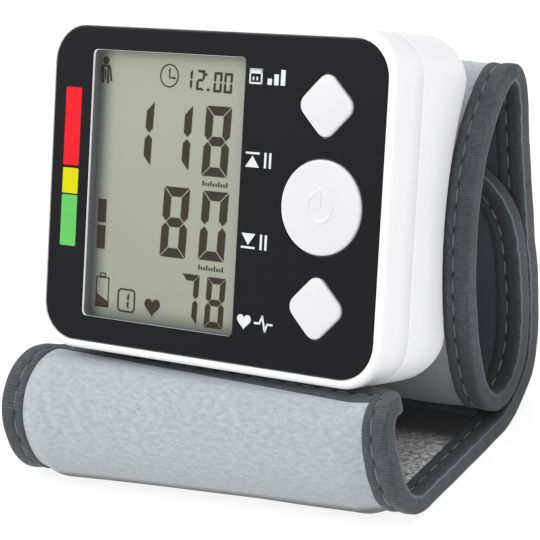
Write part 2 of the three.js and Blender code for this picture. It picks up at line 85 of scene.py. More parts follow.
# Housing and face panel
PANEL_WIDTH, PANEL_HEIGHT, PANEL_THICKNESS, PANEL_RADIUS = 78.0, 62.0, 0.6, 7.2
RIM_SIDES, RIM_ENDS = 2.3, 1.8
CASE_WIDTH, CASE_HEIGHT = PANEL_WIDTH + 2 * RIM_SIDES, PANEL_HEIGHT + 2 * RIM_ENDS
CASE_RADIUS = PANEL_RADIUS + RIM_ENDS
POCKET_DEPTH, FRONT_WALL_BACK, SIDE_WALL, PARTING, FRONT_ROUND = 0.9, 1.9, 1.5, 8.6, 1.1
# Rings of a lip at the parting line and of the window's lip: how far drawn in, and how deep
PARTING_LIP = ((0.22, 0.03), (0.07, 0.06))
WINDOW_LIP = (
    (0.05, POCKET_DEPTH), (0.05, 0.26), (0.08, 0.18), (0.14, 0.16), (0.24, 0.22), (0.28, 0.4),
    (0.36, FRONT_WALL_BACK),
)
# The back: its depth is a parabola in height; shares of its outline from the rim to the middle
REAR_DEPTH, REAR_SAG, REAR_SAG_HEIGHT, REAR_LOWEST, REAR_DEEPEST = 20.1, 3.9, 23.7, -4.0, 33.6
TAPER, TAPER_START, TAPER_SOFTNESS = 0.9, 14.5, 0.4
REAR_ROUND_SIDES, REAR_ROUND_ENDS = 1.0, 7.8
REAR_SHARES = (0.985, 0.9, 0.78, 0.66, 0.54, 0.42, 0.3, 0.18, 0.08, 0)

# Openings: battery cover, air tube and screws
COVER_FRONT, COVER_BACK, COVER_HALF, COVER_DEEP = 7.05, 18.15, 11.0, 4.2
TUBE_X, TUBE_RADIUS = 15.8, 1.6
SCREW_X, SCREW_Z, SCREW_HEAD_RADIUS, SCREW_SEAT = 35.4, 27.2, 2.0, 3.0
GAP = 0.3

# Window, display and the depths of its marks
WINDOW_X, WINDOW_Z, WINDOW_WIDTH, WINDOW_HEIGHT, WINDOW_RADIUS = -11.1, 0.3, 37.3, 52.8, 1.0
GLASS_MARGIN, GLASS_FRONT, GLASS_THICKNESS = 2.0, 2.2, 1.6
INK_FRONT, INK_BACK = 2.12, 2.24
# The first colour here is a grey that paints shade on the window's inner wall
# The second colour here is painted shadow on the display ground by the window's left and lower edges
WALL_SHADE_GREY, WINDOW_SHADOW_PAINT = (96, 101, 102), (100, 103, 100)

# Buttons, and the sign on the round one
BUTTON_HEIGHTS = {"memory": 18.6, "start": 0.0, "set": -18.6}
BUTTON_X, START_RADIUS, SMALL_REACH, SMALL_RADIUS = 26.2, 8.8, 5.7, 2.2
FLANGE_WIDTH, FLANGE_FRONT, FLANGE_BACK = 1.0, 2.2, 2.9
SYMBOL_RADIUS, SYMBOL_RELIEF, SYMBOL_LINE, SYMBOL_LINE_Z = 2.7, 0.16, 1.7, 1.75

# Printed marks: the level bars, and the heights of the signs beside the display
BAR_X, BAR_WIDTH, PRINT_FRONT, PRINT_BACK = -34.1, 4.0, -0.02, 0.1
LEVEL_BARS = (
    ("high", 3.45, 18.9, (233, 27, 40)),
    ("middle", -2.15, 2.9, (216, 211, 3)),
    ("low", -12.6, -2.45, (101, 195, 99)),
)
MARK_LEFT, MARK_HEIGHT, DATE_Z, UPPER_Z, LOWER_Z, PULSE_Z = 8.5, 2.9, 23.2, 7.7, -7.6, -22.8

# Display: bars that each figure lights, and each figure's left, bottom, width, height and weight
LIT_BARS = {"0": "abcdef", "1": "bc", "2": "abged", "7": "abc", "8": "abcdefg"}
DISPLAY_DIGITS = (
    ("1", -21.85, 4.55, 6.0, 12.6, 1.75), ("1", -12.45, 4.2, 6.0, 12.75, 1.75),
    ("8", -3.2, 3.65, 6.0, 13.4, 1.75), ("8", -12.4, -12.7, 6.2, 13.65, 1.8),
    ("0", -3.0, -12.45, 6.1, 13.3, 1.8), ("7", -7.0, -25.1, 4.3, 9.6, 1.22),
    ("8", -0.8, -25.3, 4.4, 9.75, 1.22), ("1", -8.5, 19.95, 1.9, 3.75, 0.48),
    ("2", -5.55, 19.85, 1.9, 3.85, 0.48), ("0", -1.4, 19.65, 1.9, 3.85, 0.48),
    ("0", 1.05, 19.6, 1.9, 3.85, 0.48),
)
CLOCK_X, CLOCK_Z, CLOCK_RADIUS, CLOCK_STROKE = -12.13, 22.25, 2.15, 0.24
UNIT_ROWS = (1.75, -14.4)
USER_X = -28.05
USER_HALF = (
    ((0, 23.2), (1.15, 23.2), (0.95, 23.68), (0, 23.68)),
    ((0.82, 23.4), (1.16, 23.4), (1.75, 20.5), (1.32, 20.5)),
    ((0.42, 23.3), (0.75, 23.3), (0.98, 20.1), (0.42, 20.1)),
)

# Cuff band: its layers, and the wound loop's middle line as shares of its depth and height
CUFF_WIDTH, BAND_THICKNESS, TAPE_WIDTH = 91.6, 3.6, 5.6
HALF, OUTER = CUFF_WIDTH / 2, BAND_THICKNESS / 2
VELOUR_INNER, LINING_INNER, CLOTH_FACE = OUTER - 0.9, OUTER - 0.8, 1.3
INNER_END_RADIUS, TAIL_END_RADIUS = 17.0, 5.6
LOOP_DEPTH, LOOP_HEIGHT, LOOP_SEAT = 25.2, 65.9, 0.5
LOOP_SHARES = np.array([
    [0.528, 0.162], [0.641, 0.018], [0.722, -0.074], [0.813, -0.17], [0.876, -0.276],
    [0.892, -0.387], [0.84, -0.466], [0.735, -0.526], [0.61, -0.555], [0.472, -0.557],
    [0.341, -0.525], [0.238, -0.47], [0.151, -0.398], [0.087, -0.319], [0.032, -0.212],
    [0, -0.061], [0.02, 0.076], [0.103, 0.203], [0.222, 0.297], [0.341, 0.367],
    [0.472, 0.402], [0.582, 0.381], [0.646, 0.316], [0.712, 0.203], [0.824, 0.027],
    [0.895, -0.085], [0.972, -0.17], [1.03, -0.276], [1.05, -0.39], [1.012, -0.476],
    [0.9, -0.542], [0.825, -0.578],
])

# Tail: where its curl leaves the table, behind the housing's lower front edge; the curl's reach
# to the front and back over its top, how far it stays below that edge, its hook, the powers
# of its lower and upper curves, which square them, and how far it turns down past its top
TAIL_LEFT = (1.8, 10.4, 10.4, 3.1, 6.0, 2.5, 2.0, 26.0)
TAIL_RIGHT = (3.3, 8.0, 6.9, 0.5, 1.9, 2.3, 2.5, 6.0)
LOWER_EDGE, TAIL_SETTLE, CREASE_GAP, CREASE_REACH, CREASE_LENGTH = 33.1, 22.0, 0.3, 5.0, 12.4
# The curl's lifted right corner: its height, where it starts across and up, how it fades at its end
CORNER_LIFT, CORNER_ACROSS, CORNER_LOW, CORNER_HIGH, CORNER_FADE = 2.2, 34, 5, 12.5, 9

# Cloths, tape and seams; the tape's face as distances in from the edge and out of the middle
CLOTH_TUCK, CLOTH_STEP, CLOTH_COLUMNS, TUCK_RISE = 1.0, 0.8, 64, 0.2
END_HIDDEN = TAPE_WIDTH - CLOTH_TUCK
SWELL_START, SWELL_REACH, LOOSE_SWELL_REACH, LOOSE_PLUMP = 0.6, 9, 5, 3.4
FOLD, FOLD_POWER, WALK_STEP = 1.0, 4.0, 0.72
TAPE_PUFF, TAPE_DIP, TAPE_SWAY, GROOVE_HALF, CALM_END = 0.03, 0.07, 0.04, 0.8, 4
# Soft waves along and across a cloth, and along the tape: pitch, height and phase
CLOTH_WAVES, CROSS_WAVES = ((31, 0.5, 0.3), (13.7, 0.22, 1.9)), ((43, 1, 0.8),)
TAPE_WAVES = ((29, 0.05, 0.5), (11.3, 0.03, 2.0))
TAPE_FACE = (
    (5.6, 1.2), (5.6, 1.62), (5.42, 1.77), (4.7, 1.8), (4.2, 1.76), (3.85, 1.62), (3.5, 1.44),
    (3.15, 1.62), (2.8, 1.76), (2.2, 1.82), (1.6, 1.83), (FOLD, OUTER),
)
# Pitches of the ribs, threads, weave and plies, and how far in from the fold the tape's painted highlight
# runs
RIB_PITCH, THREAD_PITCH, WEAVE_PITCH, PLY_PITCH, HIGHLIGHT_INSET = 0.5, 0.34, 0.75, 0.45, 0.13
STITCH_PITCH, STITCH_INSET, STITCH_LENGTH, THREAD_OUT, THREAD_HALF = 4.2, 3.5, 2.9, 1.5, (0.24, 0.19)

# Where the band is shaded: by distance from the crease and by height above the table
TAPE_SHADED, VELOUR_SHADED, HOOKS_SHADED = (4, 24), (6, 37), (12, 18.5)
LOW_SHADED, FOOT_SHADED = (-2, 15), (2.1, 4.6)

# Studio: lights with their place, setting and size, and the camera on the upright unit
FLOOR_REACH, SENSOR_WIDTH = 3.0, 36
LIGHTS = (
    ("key_light", (-0.55, -0.35, 0.75), "key_power", 0.55),
    ("fill_light", (0.7, -0.6, 0.35), "fill_power", 0.6),
    ("top_light", (0.12, 0.3, 0.95), "top_power", 0.5),
)
CAMERA_PLACE = np.array([245.40, -326.41, 26.60])
CAMERA_AXES = np.array([
    [0.81337, 0.57920, 0.05441], [-0.10077, 0.04816, 0.99374], [0.57295, -0.81376, 0.09754]])


def turn_matrix(lean, tilt):
    """Turns a point back about x by the lean, then about y by the tilt."""
    c, s = math.cos(lean), math.sin(lean)
    about_x = np.array([[1, 0, 0], [0, c, s], [0, -s, c]])
    c, s = math.cos(tilt), math.sin(tilt)
    return np.array([[c, 0, s], [0, 1, 0], [-s, 0, c]]) @ about_x


TURN = turn_matrix(LEAN, SIDE_TILT)
FACE_CENTRE = (np.array(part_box("face_panel")) / MM).mean(0) - TURN @ np.array([0, PANEL_THICKNESS / 2, 0])
TAIL_CENTRE_X = np.array(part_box("tail_velour"))[:, 0].mean() / MM


def place(points):
    """Takes points of the upright unit to where the unit stands."""
    return points @ TURN.T + FACE_CENTRE


def smooth_step(edge, other, values):
    """Eases from 0 to 1 between two edges: t squared times (3 - 2 t)."""
    t = np.clip((values - edge) / (other - edge), 0, 1)
    return t * t * (3 - 2 * t)


def waves(values, *terms):
    """Adds sines, each given by its pitch, height and phase."""
    return sum(height * np.sin(2 * math.pi * values / pitch + phase) for pitch, height, phase in terms)


def cubic(start, end, leave, arrive, t):
    """Cubic from a start to an end that leaves and arrives with two slopes."""
    return ((2 * start - 2 * end + leave + arrive) * t ** 3
            + (-3 * start + 3 * end - 2 * leave - arrive) * t ** 2 + leave * t + start)


def grid_faces(rows, columns):
    """Four-sided faces of a grid of points that is closed across its columns."""
    across = np.arange(columns)[None, :]
    down = np.arange(rows - 1)[:, None] * columns
    after = (across + 1) % columns
    corners = [down + across, down + after, down + columns + after, down + columns + across]
    return np.stack(corners, -1).reshape(-1, 4)


def ladder(columns):
    """Faces that close the end of a flat section, each joining two rungs of its two long sides."""
    step = np.arange(columns // 2 - 1)
    return np.stack([step, step + 1, columns - 2 - step, columns - 1 - step], -1)


class Skin:
    """Collects grids of points into one mesh, each closed round its columns."""

    def __init__(self):
        self.points, self.faces, self.uvs, self.count = [], [], [], 0

    def add(self, points, ends=False, uv=None):
        """Adds a grid of rows by columns by 3, in millimetres, with a like grid for the pattern."""
        rows, columns = points.shape[:2]
        faces = [grid_faces(rows, columns)]
        if ends:
            faces += [ladder(columns), ladder(columns) + (rows - 1) * columns]
        faces = np.concatenate(faces)
        pattern = np.zeros((rows * columns, 2)) if uv is None else uv.reshape(-1, 2)
        self.points.append(points.reshape(-1, 3))
        self.faces.append(faces + self.count)
        self.uvs.append(pattern[faces])
        self.count += rows * columns
        return self

    def build(self, name, sharp=None):
        """Makes the mesh: doubles merged, faces outward, its pattern in metres."""
        mesh = bpy.data.meshes.new(name)
        mesh.from_pydata(np.concatenate(self.points) * MM, [], np.concatenate(self.faces))
        layer = mesh.uv_layers.new(name="pattern")
        layer.data.foreach_set("uv", (np.concatenate(self.uvs) * MM).ravel())
        shape = bmesh.new()
        shape.from_mesh(mesh)
        bmesh.ops.remove_doubles(shape, verts=shape.verts, dist=MERGE * MM)
        bmesh.ops.dissolve_degenerate(shape, edges=shape.edges, dist=MERGE * MM)
        bmesh.ops.recalc_face_normals(shape, faces=shape.faces)
        shape.to_mesh(mesh)
        shape.free()
        mesh.polygons.foreach_set("use_smooth", np.full(len(mesh.polygons), True))
        if sharp:
            mesh.set_sharp_from_angle(angle=math.radians(sharp))
        return add_object(name, mesh)


def add_object(name, data):
    """Puts an object with its data into the scene."""
    thing = bpy.data.objects.new(name, data)
    bpy.context.scene.collection.objects.link(thing)
    return thing


def outline(width, height, radius, x=0.0, z=0.0, arc=10, side=2):
    """Rounded rectangle: four quarter circles, with evenly spaced points along the sides."""
    turns = np.linspace(0, QUARTER, arc)
    half = np.array([width / 2 - radius, height / 2 - radius])
    corners = []
    for quarter, sign in enumerate([(1, 1), (-1, 1), (-1, -1), (1, -1)]):
        angle = turns + quarter * QUARTER
        corners.append(half * sign + radius * np.stack([np.cos(angle), np.sin(angle)], -1))
    loop = []
    for corner, following in zip(corners, corners[1:] + corners[:1]):
        share = np.linspace(0, 1, side + 2)[1:-1, None]
        loop += [corner, corner[-1] * (1 - share) + following[0] * share]
    return np.concatenate(loop) + (x, z)


def disc(radius, x, z, arc=10):
    return outline(2 * radius, 2 * radius, radius, x, z, arc=arc, side=0)


def stack(levels):
    """Rows from flat outlines and their depths: each is (outline points, depth or depths)."""
    return np.stack([np.stack([o[:, 0], np.broadcast_to(y, len(o)), o[:, 1]], -1) for o, y in levels])


def pole(points):
    """An outline shrunk to its middle, to close a stack."""
    return np.broadcast_to(points.mean(0), points.shape)


def upright_plates(*plates):
    """Skin of closed flat plates on the upright unit, each an outline with its front and back."""
    skin = Skin()
    for edge, front, back in plates:
        skin.add(place(stack([(pole(edge), front), (edge, front), (edge, back), (pole(edge), back)])))
    return skin


def cut(thing, cutters):
    """Takes closed shapes out of a piece and keeps the result as its mesh."""
    tool = cutters.build("cutters")
    modifier = thing.modifiers.new("openings", "BOOLEAN")
    modifier.operation, modifier.object, modifier.solver = "DIFFERENCE", tool, "EXACT"
    evaluated = thing.evaluated_get(bpy.context.evaluated_depsgraph_get())
    mesh = bpy.data.meshes.new_from_object(evaluated)
    normals = np.empty(3 * len(mesh.polygons))
    mesh.polygons.foreach_get("normal", normals)
    level = np.abs(normals.reshape(-1, 3) @ TURN[:, 1]) > 0.9999
    mesh.polygons.foreach_set("use_smooth", ~level)
    mesh.set_sharp_from_angle(angle=math.radians(40))
    thing.modifiers.clear()
    thing.data = mesh
    bpy.data.objects.remove(tool)


def make_piece(name, skin, material, slot, body="monitor", replaces=(), holes=(), sharp=40):
    """Builds a piece, cuts its openings, gives it its finish and body and hides the solids that it
    stands for; its slot is not used. Where two bodies and the spots between them are given in place
    of one, the piece keeps its place and joins no body."""
    thing = skin.build(name, sharp)
    if holes:
        cut(thing, upright_plates(*holes))
    thing.data.materials.append(material)
    if isinstance(body, str):
        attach(thing, body)
    else:
        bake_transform(thing)
    if replaces:
        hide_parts(*replaces)
    return thing


class Number:
    """A number worked out at each point of a surface: arithmetic on it adds Math nodes."""

    def __init__(self, finish, socket):
        self.finish, self.socket = finish, socket

    def joined(self, operation, *others):
        node = self.finish.tree.nodes.new("ShaderNodeMath")
        node.operation = operation
        for socket, item in zip(node.inputs, (self, *others)):
            self.finish.join(socket, item)
        return Number(self.finish, node.outputs[0])

    def __rsub__(self, other):
        return self * -1 + other

    def within(self, low, high):
        """0 below the low value, 1 above the high one, eased between them."""
        return self.finish.number("MapRange", {"interpolation_type": "SMOOTHSTEP"}, "Result",
                                  Value=self, From_Min=low, From_Max=high)

    __add__ = __radd__ = partialmethod(joined, "ADD")
    __mul__ = __rmul__ = partialmethod(joined, "MULTIPLY")
    __sub__ = partialmethod(joined, "SUBTRACT")
    __lt__ = partialmethod(joined, "LESS_THAN")
    __gt__ = partialmethod(joined, "GREATER_THAN")
    sine = partialmethod(joined, "SINE")
    size = partialmethod(joined, "ABSOLUTE")
    fraction = partialmethod(joined, "FRACT")


class Finish:
    """One surface finish: a Principled shader and the nodes that vary it over the surface."""

    def __init__(self, name, colour, roughness, **constants):
        self.material = bpy.data.materials.new(name)
        self.material.use_nodes = True
        self.tree, self.own = self.material.node_tree, colour
        self.shader = self.tree.nodes["Principled BSDF"]
        self.colour(colour)
        self.rough(roughness)
        for key, value in constants.items():
            self.shader.inputs[key.replace("_", " ").title().replace("Ior", "IOR")].default_value = value
        self.place = self.node("TexCoord", output="Object")

    def join(self, socket, value):
        """Links an input or sets it, a colour from its screen values from 0 to 255."""
        if isinstance(value, Number):
            self.tree.links.new(value.socket, socket)
        elif isinstance(value, bpy.types.NodeSocket):
            self.tree.links.new(value, socket)
        else:
            socket.default_value = linear(value) if socket.bl_idname == "NodeSocketColor" else value

    def node(self, kind, settings=None, output=0, **values):
        """Adds a node: its settings first, then the values or links of its inputs."""
        node = self.tree.nodes.new("ShaderNode" + kind)
        for key, value in (settings or {}).items():
            setattr(node, key, value)
        for key, value in values.items():
            self.join(node.inputs[key.replace("_", " ")], value)
        return node.outputs[output]

    def number(self, kind, settings=None, output=0, **values):
        return Number(self, self.node(kind, settings, output, **values))

    def noise(self, scale, detail=2.0, roughness=0.5, vector=None):
        """Soft random variation from 0 to 1, with its grain in steps per metre."""
        return self.number("TexNoise", Vector=vector or self.place, Scale=scale, Detail=detail,
                           Roughness=roughness)

    def stretched(self, scale, turn=0, vector=None):
        """Coordinates turned by degrees and squeezed along each axis, for streaks."""
        return self.node("Mapping", Vector=vector or self.place, Scale=scale,
                         Rotation=(0, 0, math.radians(turn)))

    def axes(self, vector):
        """The three numbers of a vector."""
        return [self.number("SeparateXYZ", output=axis, Vector=vector) for axis in "XYZ"]

    def pattern(self):
        """A cloth's pattern coordinates, whose first two numbers run along and across it."""
        return self.node("UVMap", {"uv_map": "pattern"})

    def upright(self):
        """Millimetres to the right of and above the middle of the upright unit's face."""
        turn = Matrix(TURN.T.tolist()).to_euler()
        moved = self.node("Mapping", Vector=self.place, Rotation=turn,
                          Location=(-TURN.T @ FACE_CENTRE * MM).tolist())
        return [number * (1 / MM) for number in self.axes(moved)[::2]]

    def from_crease(self, near, far):
        """0 on the band by its crease, 1 away from it, by the distance in depth and height."""
        moved = self.node("Mapping", Vector=self.place, Scale=(0, 1, 1),
                          Location=(0, -(crease_place()[0] + FACE_CENTRE[1]) * MM, -OUTER * MM))
        length = self.number("VectorMath", {"operation": "LENGTH"}, "Value", Vector=moved)
        return (length * (1 / MM)).within(near, far)

    def mix(self, factor, first, second):
        """Blends two colours by a factor."""
        return self.node("Mix", {"data_type": "RGBA"}, "Result", Factor=factor, A=first, B=second)

    def tint(self, factor, under, share):
        """Blends a colour towards the finish's own colour made darker or lighter."""
        return self.mix(factor, under, shade(self.own, share))

    def tones(self, factor, low, high):
        """The finish's own colour between two shades of it."""
        return self.tint(factor, shade(self.own, low), high)

    def colour(self, value):
        self.join(self.shader.inputs["Base Color"], value)

    def rough(self, value):
        self.join(self.shader.inputs["Roughness"], value)

    def relief(self, height, depth, strength):
        """Raises the surface by a height from 0 to 1 times a depth in metres; gives the material."""
        normal = self.node("Bump", Height=height, Distance=depth, Strength=strength)
        self.join(self.shader.inputs["Normal"], normal)
        return self.material


def linear(colour):
    """A screen colour from 0 to 255 as a linear one."""
    channels = np.array(colour[:3], float) / 255
    low, high = channels / 12.92, ((channels + 0.055) / 1.055) ** 2.4
    return (*np.where(channels <= 0.04045, low, high).tolist(), 1.0)


def shade(colour, factor):
    """A screen colour made darker or lighter."""
    return tuple(min(255.0, channel * factor) for channel in colour)


def screen(colour):
    """A colour setting as a screen colour from 0 to 255."""
    return tuple(channel * 255 for channel in colour[:3])


def moulded_plastic(name, colour, roughness):
    """Moulded plastic: fine tooling grain, faint blotches in its gloss and a slightly uneven tone."""
    finish = Finish(name, colour, roughness, ior=1.5)
    finish.colour(finish.tones(finish.noise(90, 3), 0.985, 1.01))
    finish.rough(finish.noise(350, 3) * 0.12 + (roughness - 0.06))
    return finish.relief(finish.noise(6500, 2), 0.00001, 0.5)


def printed_gloss(name, colour, roughness):
    """Printed or painted face: even colour with a faint haze and pinpoint dust in its gloss."""
    finish = Finish(name, colour, roughness, specular_ior_level=0.16)
    finish.colour(finish.tones(finish.noise(140, 4, 0.6), 0.96, 1.05))
    finish.rough(finish.noise(420, 4) * 0.14 + (roughness - 0.07))
    return finish.relief(finish.noise(2600, 2), 0.00001, 0.3)


def display_finish(name, colour):
    """Reflective liquid crystal: grey-green ground that is paler towards its top, with painted shadow by
    the window's left and lower edges, a very fine speckle and a soft sheen."""
    finish = Finish(name, colour, 0.34, specular_ior_level=0.3)
    across, up = finish.upright()
    left, bottom = WINDOW_X - WINDOW_WIDTH / 2, WINDOW_Z - WINDOW_HEIGHT / 2
    ground = finish.tones((up * (1 / WINDOW_HEIGHT) + 0.5) * 0.8 + finish.noise(45, 2) * 0.2, 0.96, 1.035)
    ground = finish.tint(finish.noise(4200, 2, 0.7) * 0.25, ground, 0.9)
    # Painted shadow of the window's left and lower walls on the display ground
    ground = finish.mix((1 - across.within(left + 0.3, left + 4.8)) * 0.95, ground, WINDOW_SHADOW_PAINT)
    finish.colour(finish.mix((1 - up.within(bottom - 1.2, bottom + 3.6)) * 0.8, ground, WINDOW_SHADOW_PAINT))
    return finish.relief(finish.noise(3000, 2), 0.000006, 0.4)


def ribbed_tape(name, colour):
    """Grosgrain tape: ribs across its width, a painted highlight and wear along its folded edge,
    painted shade on its lining-side face and by the crease, and needle holes at its stitches.
    """
    finish = Finish(name, colour, 0.86, sheen_weight=0.1, sheen_roughness=0.5)
    along, across = finish.axes(finish.pattern())[:2]
    rib = (along * (2 * math.pi / (RIB_PITCH * MM))).sine() * 0.5 + 0.5
    thread = (across * (2 * math.pi / (THREAD_PITCH * MM))).sine() * 0.5 + 0.5
    mottle = finish.noise(1100, 3, 0.65)
    inward = across.size() * (1 / MM)
    base = finish.tones((rib * 0.2 + mottle * 0.8).within(0.22, 0.78), 0.72, 1.2)
    base = finish.tint(finish.noise(160, 2).within(0.3, 0.7) * 0.6, base, 0.8)
    # Painted highlight, also standing for wear: a thin lighter line along the fold's corner on the lining
    # side
    wear_and_highlight = (1 - (inward - HIGHLIGHT_INSET).size().within(0.0, 0.12)) * (across < 0)
    base = finish.tint(wear_and_highlight * 0.75, base, 1.7)
    # Painted shade: the tape's face on the lining side is darker
    base = finish.tint((across < -1.2 * MM) * 0.45, base, 0.6)
    base = finish.tint((1 - finish.from_crease(*TAPE_SHADED)) * 0.6, base, 0.4)
    step = (along * (1 / (STITCH_PITCH * MM))).fraction()
    beside = (inward - STITCH_INSET).size()
    hole = (1 - beside.within(0.1, 0.32)) * (1 - (step - 0.5).size().within(0.02, 0.12))
    base = finish.tint((1 - beside.within(0.1, 0.7)) * 0.35, base, 0.6)
    finish.colour(finish.tint(hole * 0.85, base, 0.35))
    return finish.relief(rib * 0.2 + thread * 0.15 + mottle * 0.75 - hole, 0.00012, 0.8)


def velour(name, colour):
    """Brushed velour: short laid pile in slanting streaks, soft cloudy tone and a pale sheen, and
    shade in the band's crease and where it turns under to the table."""
    finish = Finish(name, colour, 0.95, sheen_weight=0.35, sheen_roughness=0.6)
    uv = finish.pattern()
    streaks = finish.noise(1700, 3, 0.7, finish.stretched((1, 0.3, 1), 14, uv))
    tone = streaks * 0.55 + finish.noise(3600, 2, 0.8, uv) * 0.45
    base = finish.tones(tone.within(0.3, 0.7), 0.83, 1.06)
    base = finish.tint(finish.noise(70, 3, 0.55, uv).within(0.35, 0.75) * 0.25, base, 0.9)
    height = finish.axes(finish.place)[2] * (1 / MM)
    base = finish.tint((1 - height.within(*LOW_SHADED)) * 0.7, base, 0.78)
    base = finish.tint((1 - height.within(*FOOT_SHADED)) * 0.97, base, 0.07)
    finish.colour(finish.tint((1 - finish.from_crease(*VELOUR_SHADED)) * 0.82, base, 0.42))
    return finish.relief(tone, 0.0004, 0.9)


def napped_hooks(name, colour):
    """Napped hook face: matted brownish pile in small tufts, with darker hollows between them."""
    finish = Finish(name, colour, 0.97, sheen_weight=0.12, sheen_roughness=0.7)
    uv = finish.pattern()
    hairs = finish.noise(2400, 2, 0.8, finish.stretched((1, 0.22, 1), -30, uv))
    tone = finish.noise(900, 4, 0.75, uv) * 0.5 + hairs * 0.5
    base = finish.tones(tone.within(0.38, 0.62), 0.45, 1.45)
    base = finish.tint(finish.noise(110, 2, 0.5, uv) * 0.4, base, 0.75)
    finish.colour(finish.tint(1 - finish.from_crease(*HOOKS_SHADED), base, 0.07))
    return finish.relief(tone, 0.0005, 1.0)


def plain_weave(name, colour):
    """Plain woven lining: threads over and under each other in both directions."""
    finish = Finish(name, colour, 0.88, sheen_weight=0.2, sheen_roughness=0.5)
    uv = finish.pattern()
    along, across = finish.axes(uv)[:2]
    pitch = 2 * math.pi / (WEAVE_PITCH * MM)
    weave = (along * pitch).sine() * (across * pitch).sine() * 0.5 + 0.5
    slub = finish.noise(800, 3, 0.6, finish.stretched((1, 0.15, 1), 0, uv))
    base = finish.tones(weave * 0.7 + slub * 0.3, 0.68, 1.3)
    finish.colour(finish.tint(finish.noise(120, 2) * 0.4, base, 0.8))
    return finish.relief(weave * 0.7 + slub * 0.4, 0.00014, 0.9)


def sewing_thread(name, colour):
    """Twisted sewing thread: slanting plies and a slight fleck."""
    finish = Finish(name, colour, 0.7, sheen_weight=0.3)
    along, across = finish.axes(finish.pattern())[:2]
    ply = ((along + across) * (2 * math.pi / (PLY_PITCH * MM))).sine() * 0.5 + 0.5
    finish.colour(finish.tones(ply * 0.6 + finish.noise(1500, 2) * 0.3, 0.75, 1.15))
    return finish.relief(ply, 0.00008, 0.8)


def brushed_metal(name, colour):
    """Bright plated metal: fine drawing lines and faint tarnish."""
    finish = Finish(name, colour, 0.3, metallic=1.0)
    lines = finish.noise(1800, 2, 0.6, finish.stretched((1, 0.08, 0.08)))
    finish.colour(finish.tones(finish.noise(240, 3), 0.86, 1.04))
    finish.rough(lines * 0.25 + 0.2)
    return finish.relief(lines, 0.00002, 0.4)


def circuit_board(name, colour):
    """Solder resist over copper: fine tracks in two directions and pale pads."""
    finish = Finish(name, colour, 0.42, coat_weight=0.3)
    x, z = finish.axes(finish.place)[::2]
    blocks = finish.noise(95, 0)
    tracks = (x * 1400).sine() * (blocks > 0.5) + (z * 1400).sine() * (blocks < 0.5)
    pads = (((x * 390).fraction() - 0.5).size() < 0.16) * (((z * 390).fraction() - 0.5).size() < 0.16)
    finish.colour(finish.mix(pads * 0.8, finish.tones(tracks > 0.6, 1, 1.35), (196, 190, 160)))
    return finish.relief(tracks, 0.00002, 0.5)


def cell_wrap(name, colour):
    """Shrink-wrapped cell: a broad pale band round one end on a dark metallic film."""
    finish = Finish(name, colour, 0.3, coat_weight=0.4)
    band = (finish.axes(finish.place)[0] * (1 / MM)).within(-12, -11)
    wrap = finish.mix(band, (176, 182, 188), colour)
    finish.colour(finish.tint(finish.noise(200, 3) * 0.2, wrap, 0.7))
    return finish.relief(finish.noise(900, 2), 0.00002, 0.4)


def soft_rubber(name, colour):
    """Matt silicone: dusty bloom with a faint mould grain."""
    finish = Finish(name, colour, 0.62, subsurface_weight=0.05)
    bloom = finish.noise(300, 4, 0.6)
    finish.colour(finish.tones(bloom, 0.93, 1.04))
    finish.rough(bloom * 0.2 + 0.52)
    return finish.relief(finish.noise(2400, 2), 0.00002, 0.5)


def rear_depth(z):
    """Depth of the hollowed back: a parabola that suits the wrist."""
    return REAR_DEPTH + REAR_SAG * ((z - REAR_LOWEST) / REAR_SAG_HEIGHT) ** 2


def tapered(points):
    """Draws the sides in towards the back, from a soft ridge on: depth past the ridge, eased in."""
    past = points[..., 1] - TAPER_START
    eased = TAPER_SOFTNESS * np.logaddexp(0, past / TAPER_SOFTNESS)
    narrowed = points.copy()
    narrowed[..., 0] *= 1 - TAPER * eased / (REAR_DEEPEST - TAPER_START) / (CASE_WIDTH / 2)
    return narrowed


def case_outline(inset, inset_ends=None):
    """The casing's outline seen from the front, drawn in at its sides and at its top and bottom."""
    ends = inset if inset_ends is None else inset_ends
    radius = max(CASE_RADIUS - (inset + ends) / 2, 0.8)
    return outline(CASE_WIDTH - 2 * inset, CASE_HEIGHT - 2 * ends, radius, arc=12, side=10)


def rear_rows(inset, start):
    """Rows from a start depth to the middle of the back: a straight wall, a rounded edge whose
    radius follows the wall's direction, then the outline shrinking over the hollowed back."""
    edge = case_outline(inset)
    run = np.roll(edge, -1, 0) - np.roll(edge, 1, 0)
    normal = np.stack([run[:, 1], -run[:, 0]], -1) / np.linalg.norm(run, axis=1)[:, None]
    sides, ends = REAR_ROUND_SIDES - inset / 2, REAR_ROUND_ENDS - inset
    radius = np.hypot(sides * normal[:, 0], ends * normal[:, 1])
    bottom = rear_depth(edge[:, 1]) - inset - radius
    levels = [(edge, start + (bottom - start) * share) for share in np.linspace(0, 1, 18)]
    for angle in np.linspace(0, QUARTER, 10)[1:]:
        drawn = 1 - math.cos(angle)
        ring = case_outline(inset + sides * drawn, inset + ends * drawn)
        levels.append((ring, rear_depth(ring[:, 1]) - inset - radius * (1 - math.sin(angle))))
    rim = levels[-1][0]
    for share in REAR_SHARES:
        levels.append((rim * share, rear_depth(rim[:, 1] * share) - inset))
    return tapered(stack(levels))


def parting_lip(way):
    """Rings of a casing's lip at the parting line, on the side of it that the casing lies."""
    return [(case_outline(inset), PARTING + way * depth) for inset, depth in PARTING_LIP]


def rear_shell():
    """Rear casing: outer skin and inner skin joined by the lip at the parting line."""
    lip = stack(parting_lip(1))
    outer, inner = rear_rows(0, PARTING + 0.2), rear_rows(SIDE_WALL, PARTING + 0.03)
    return np.concatenate([outer[::-1], lip[::-1], inner])


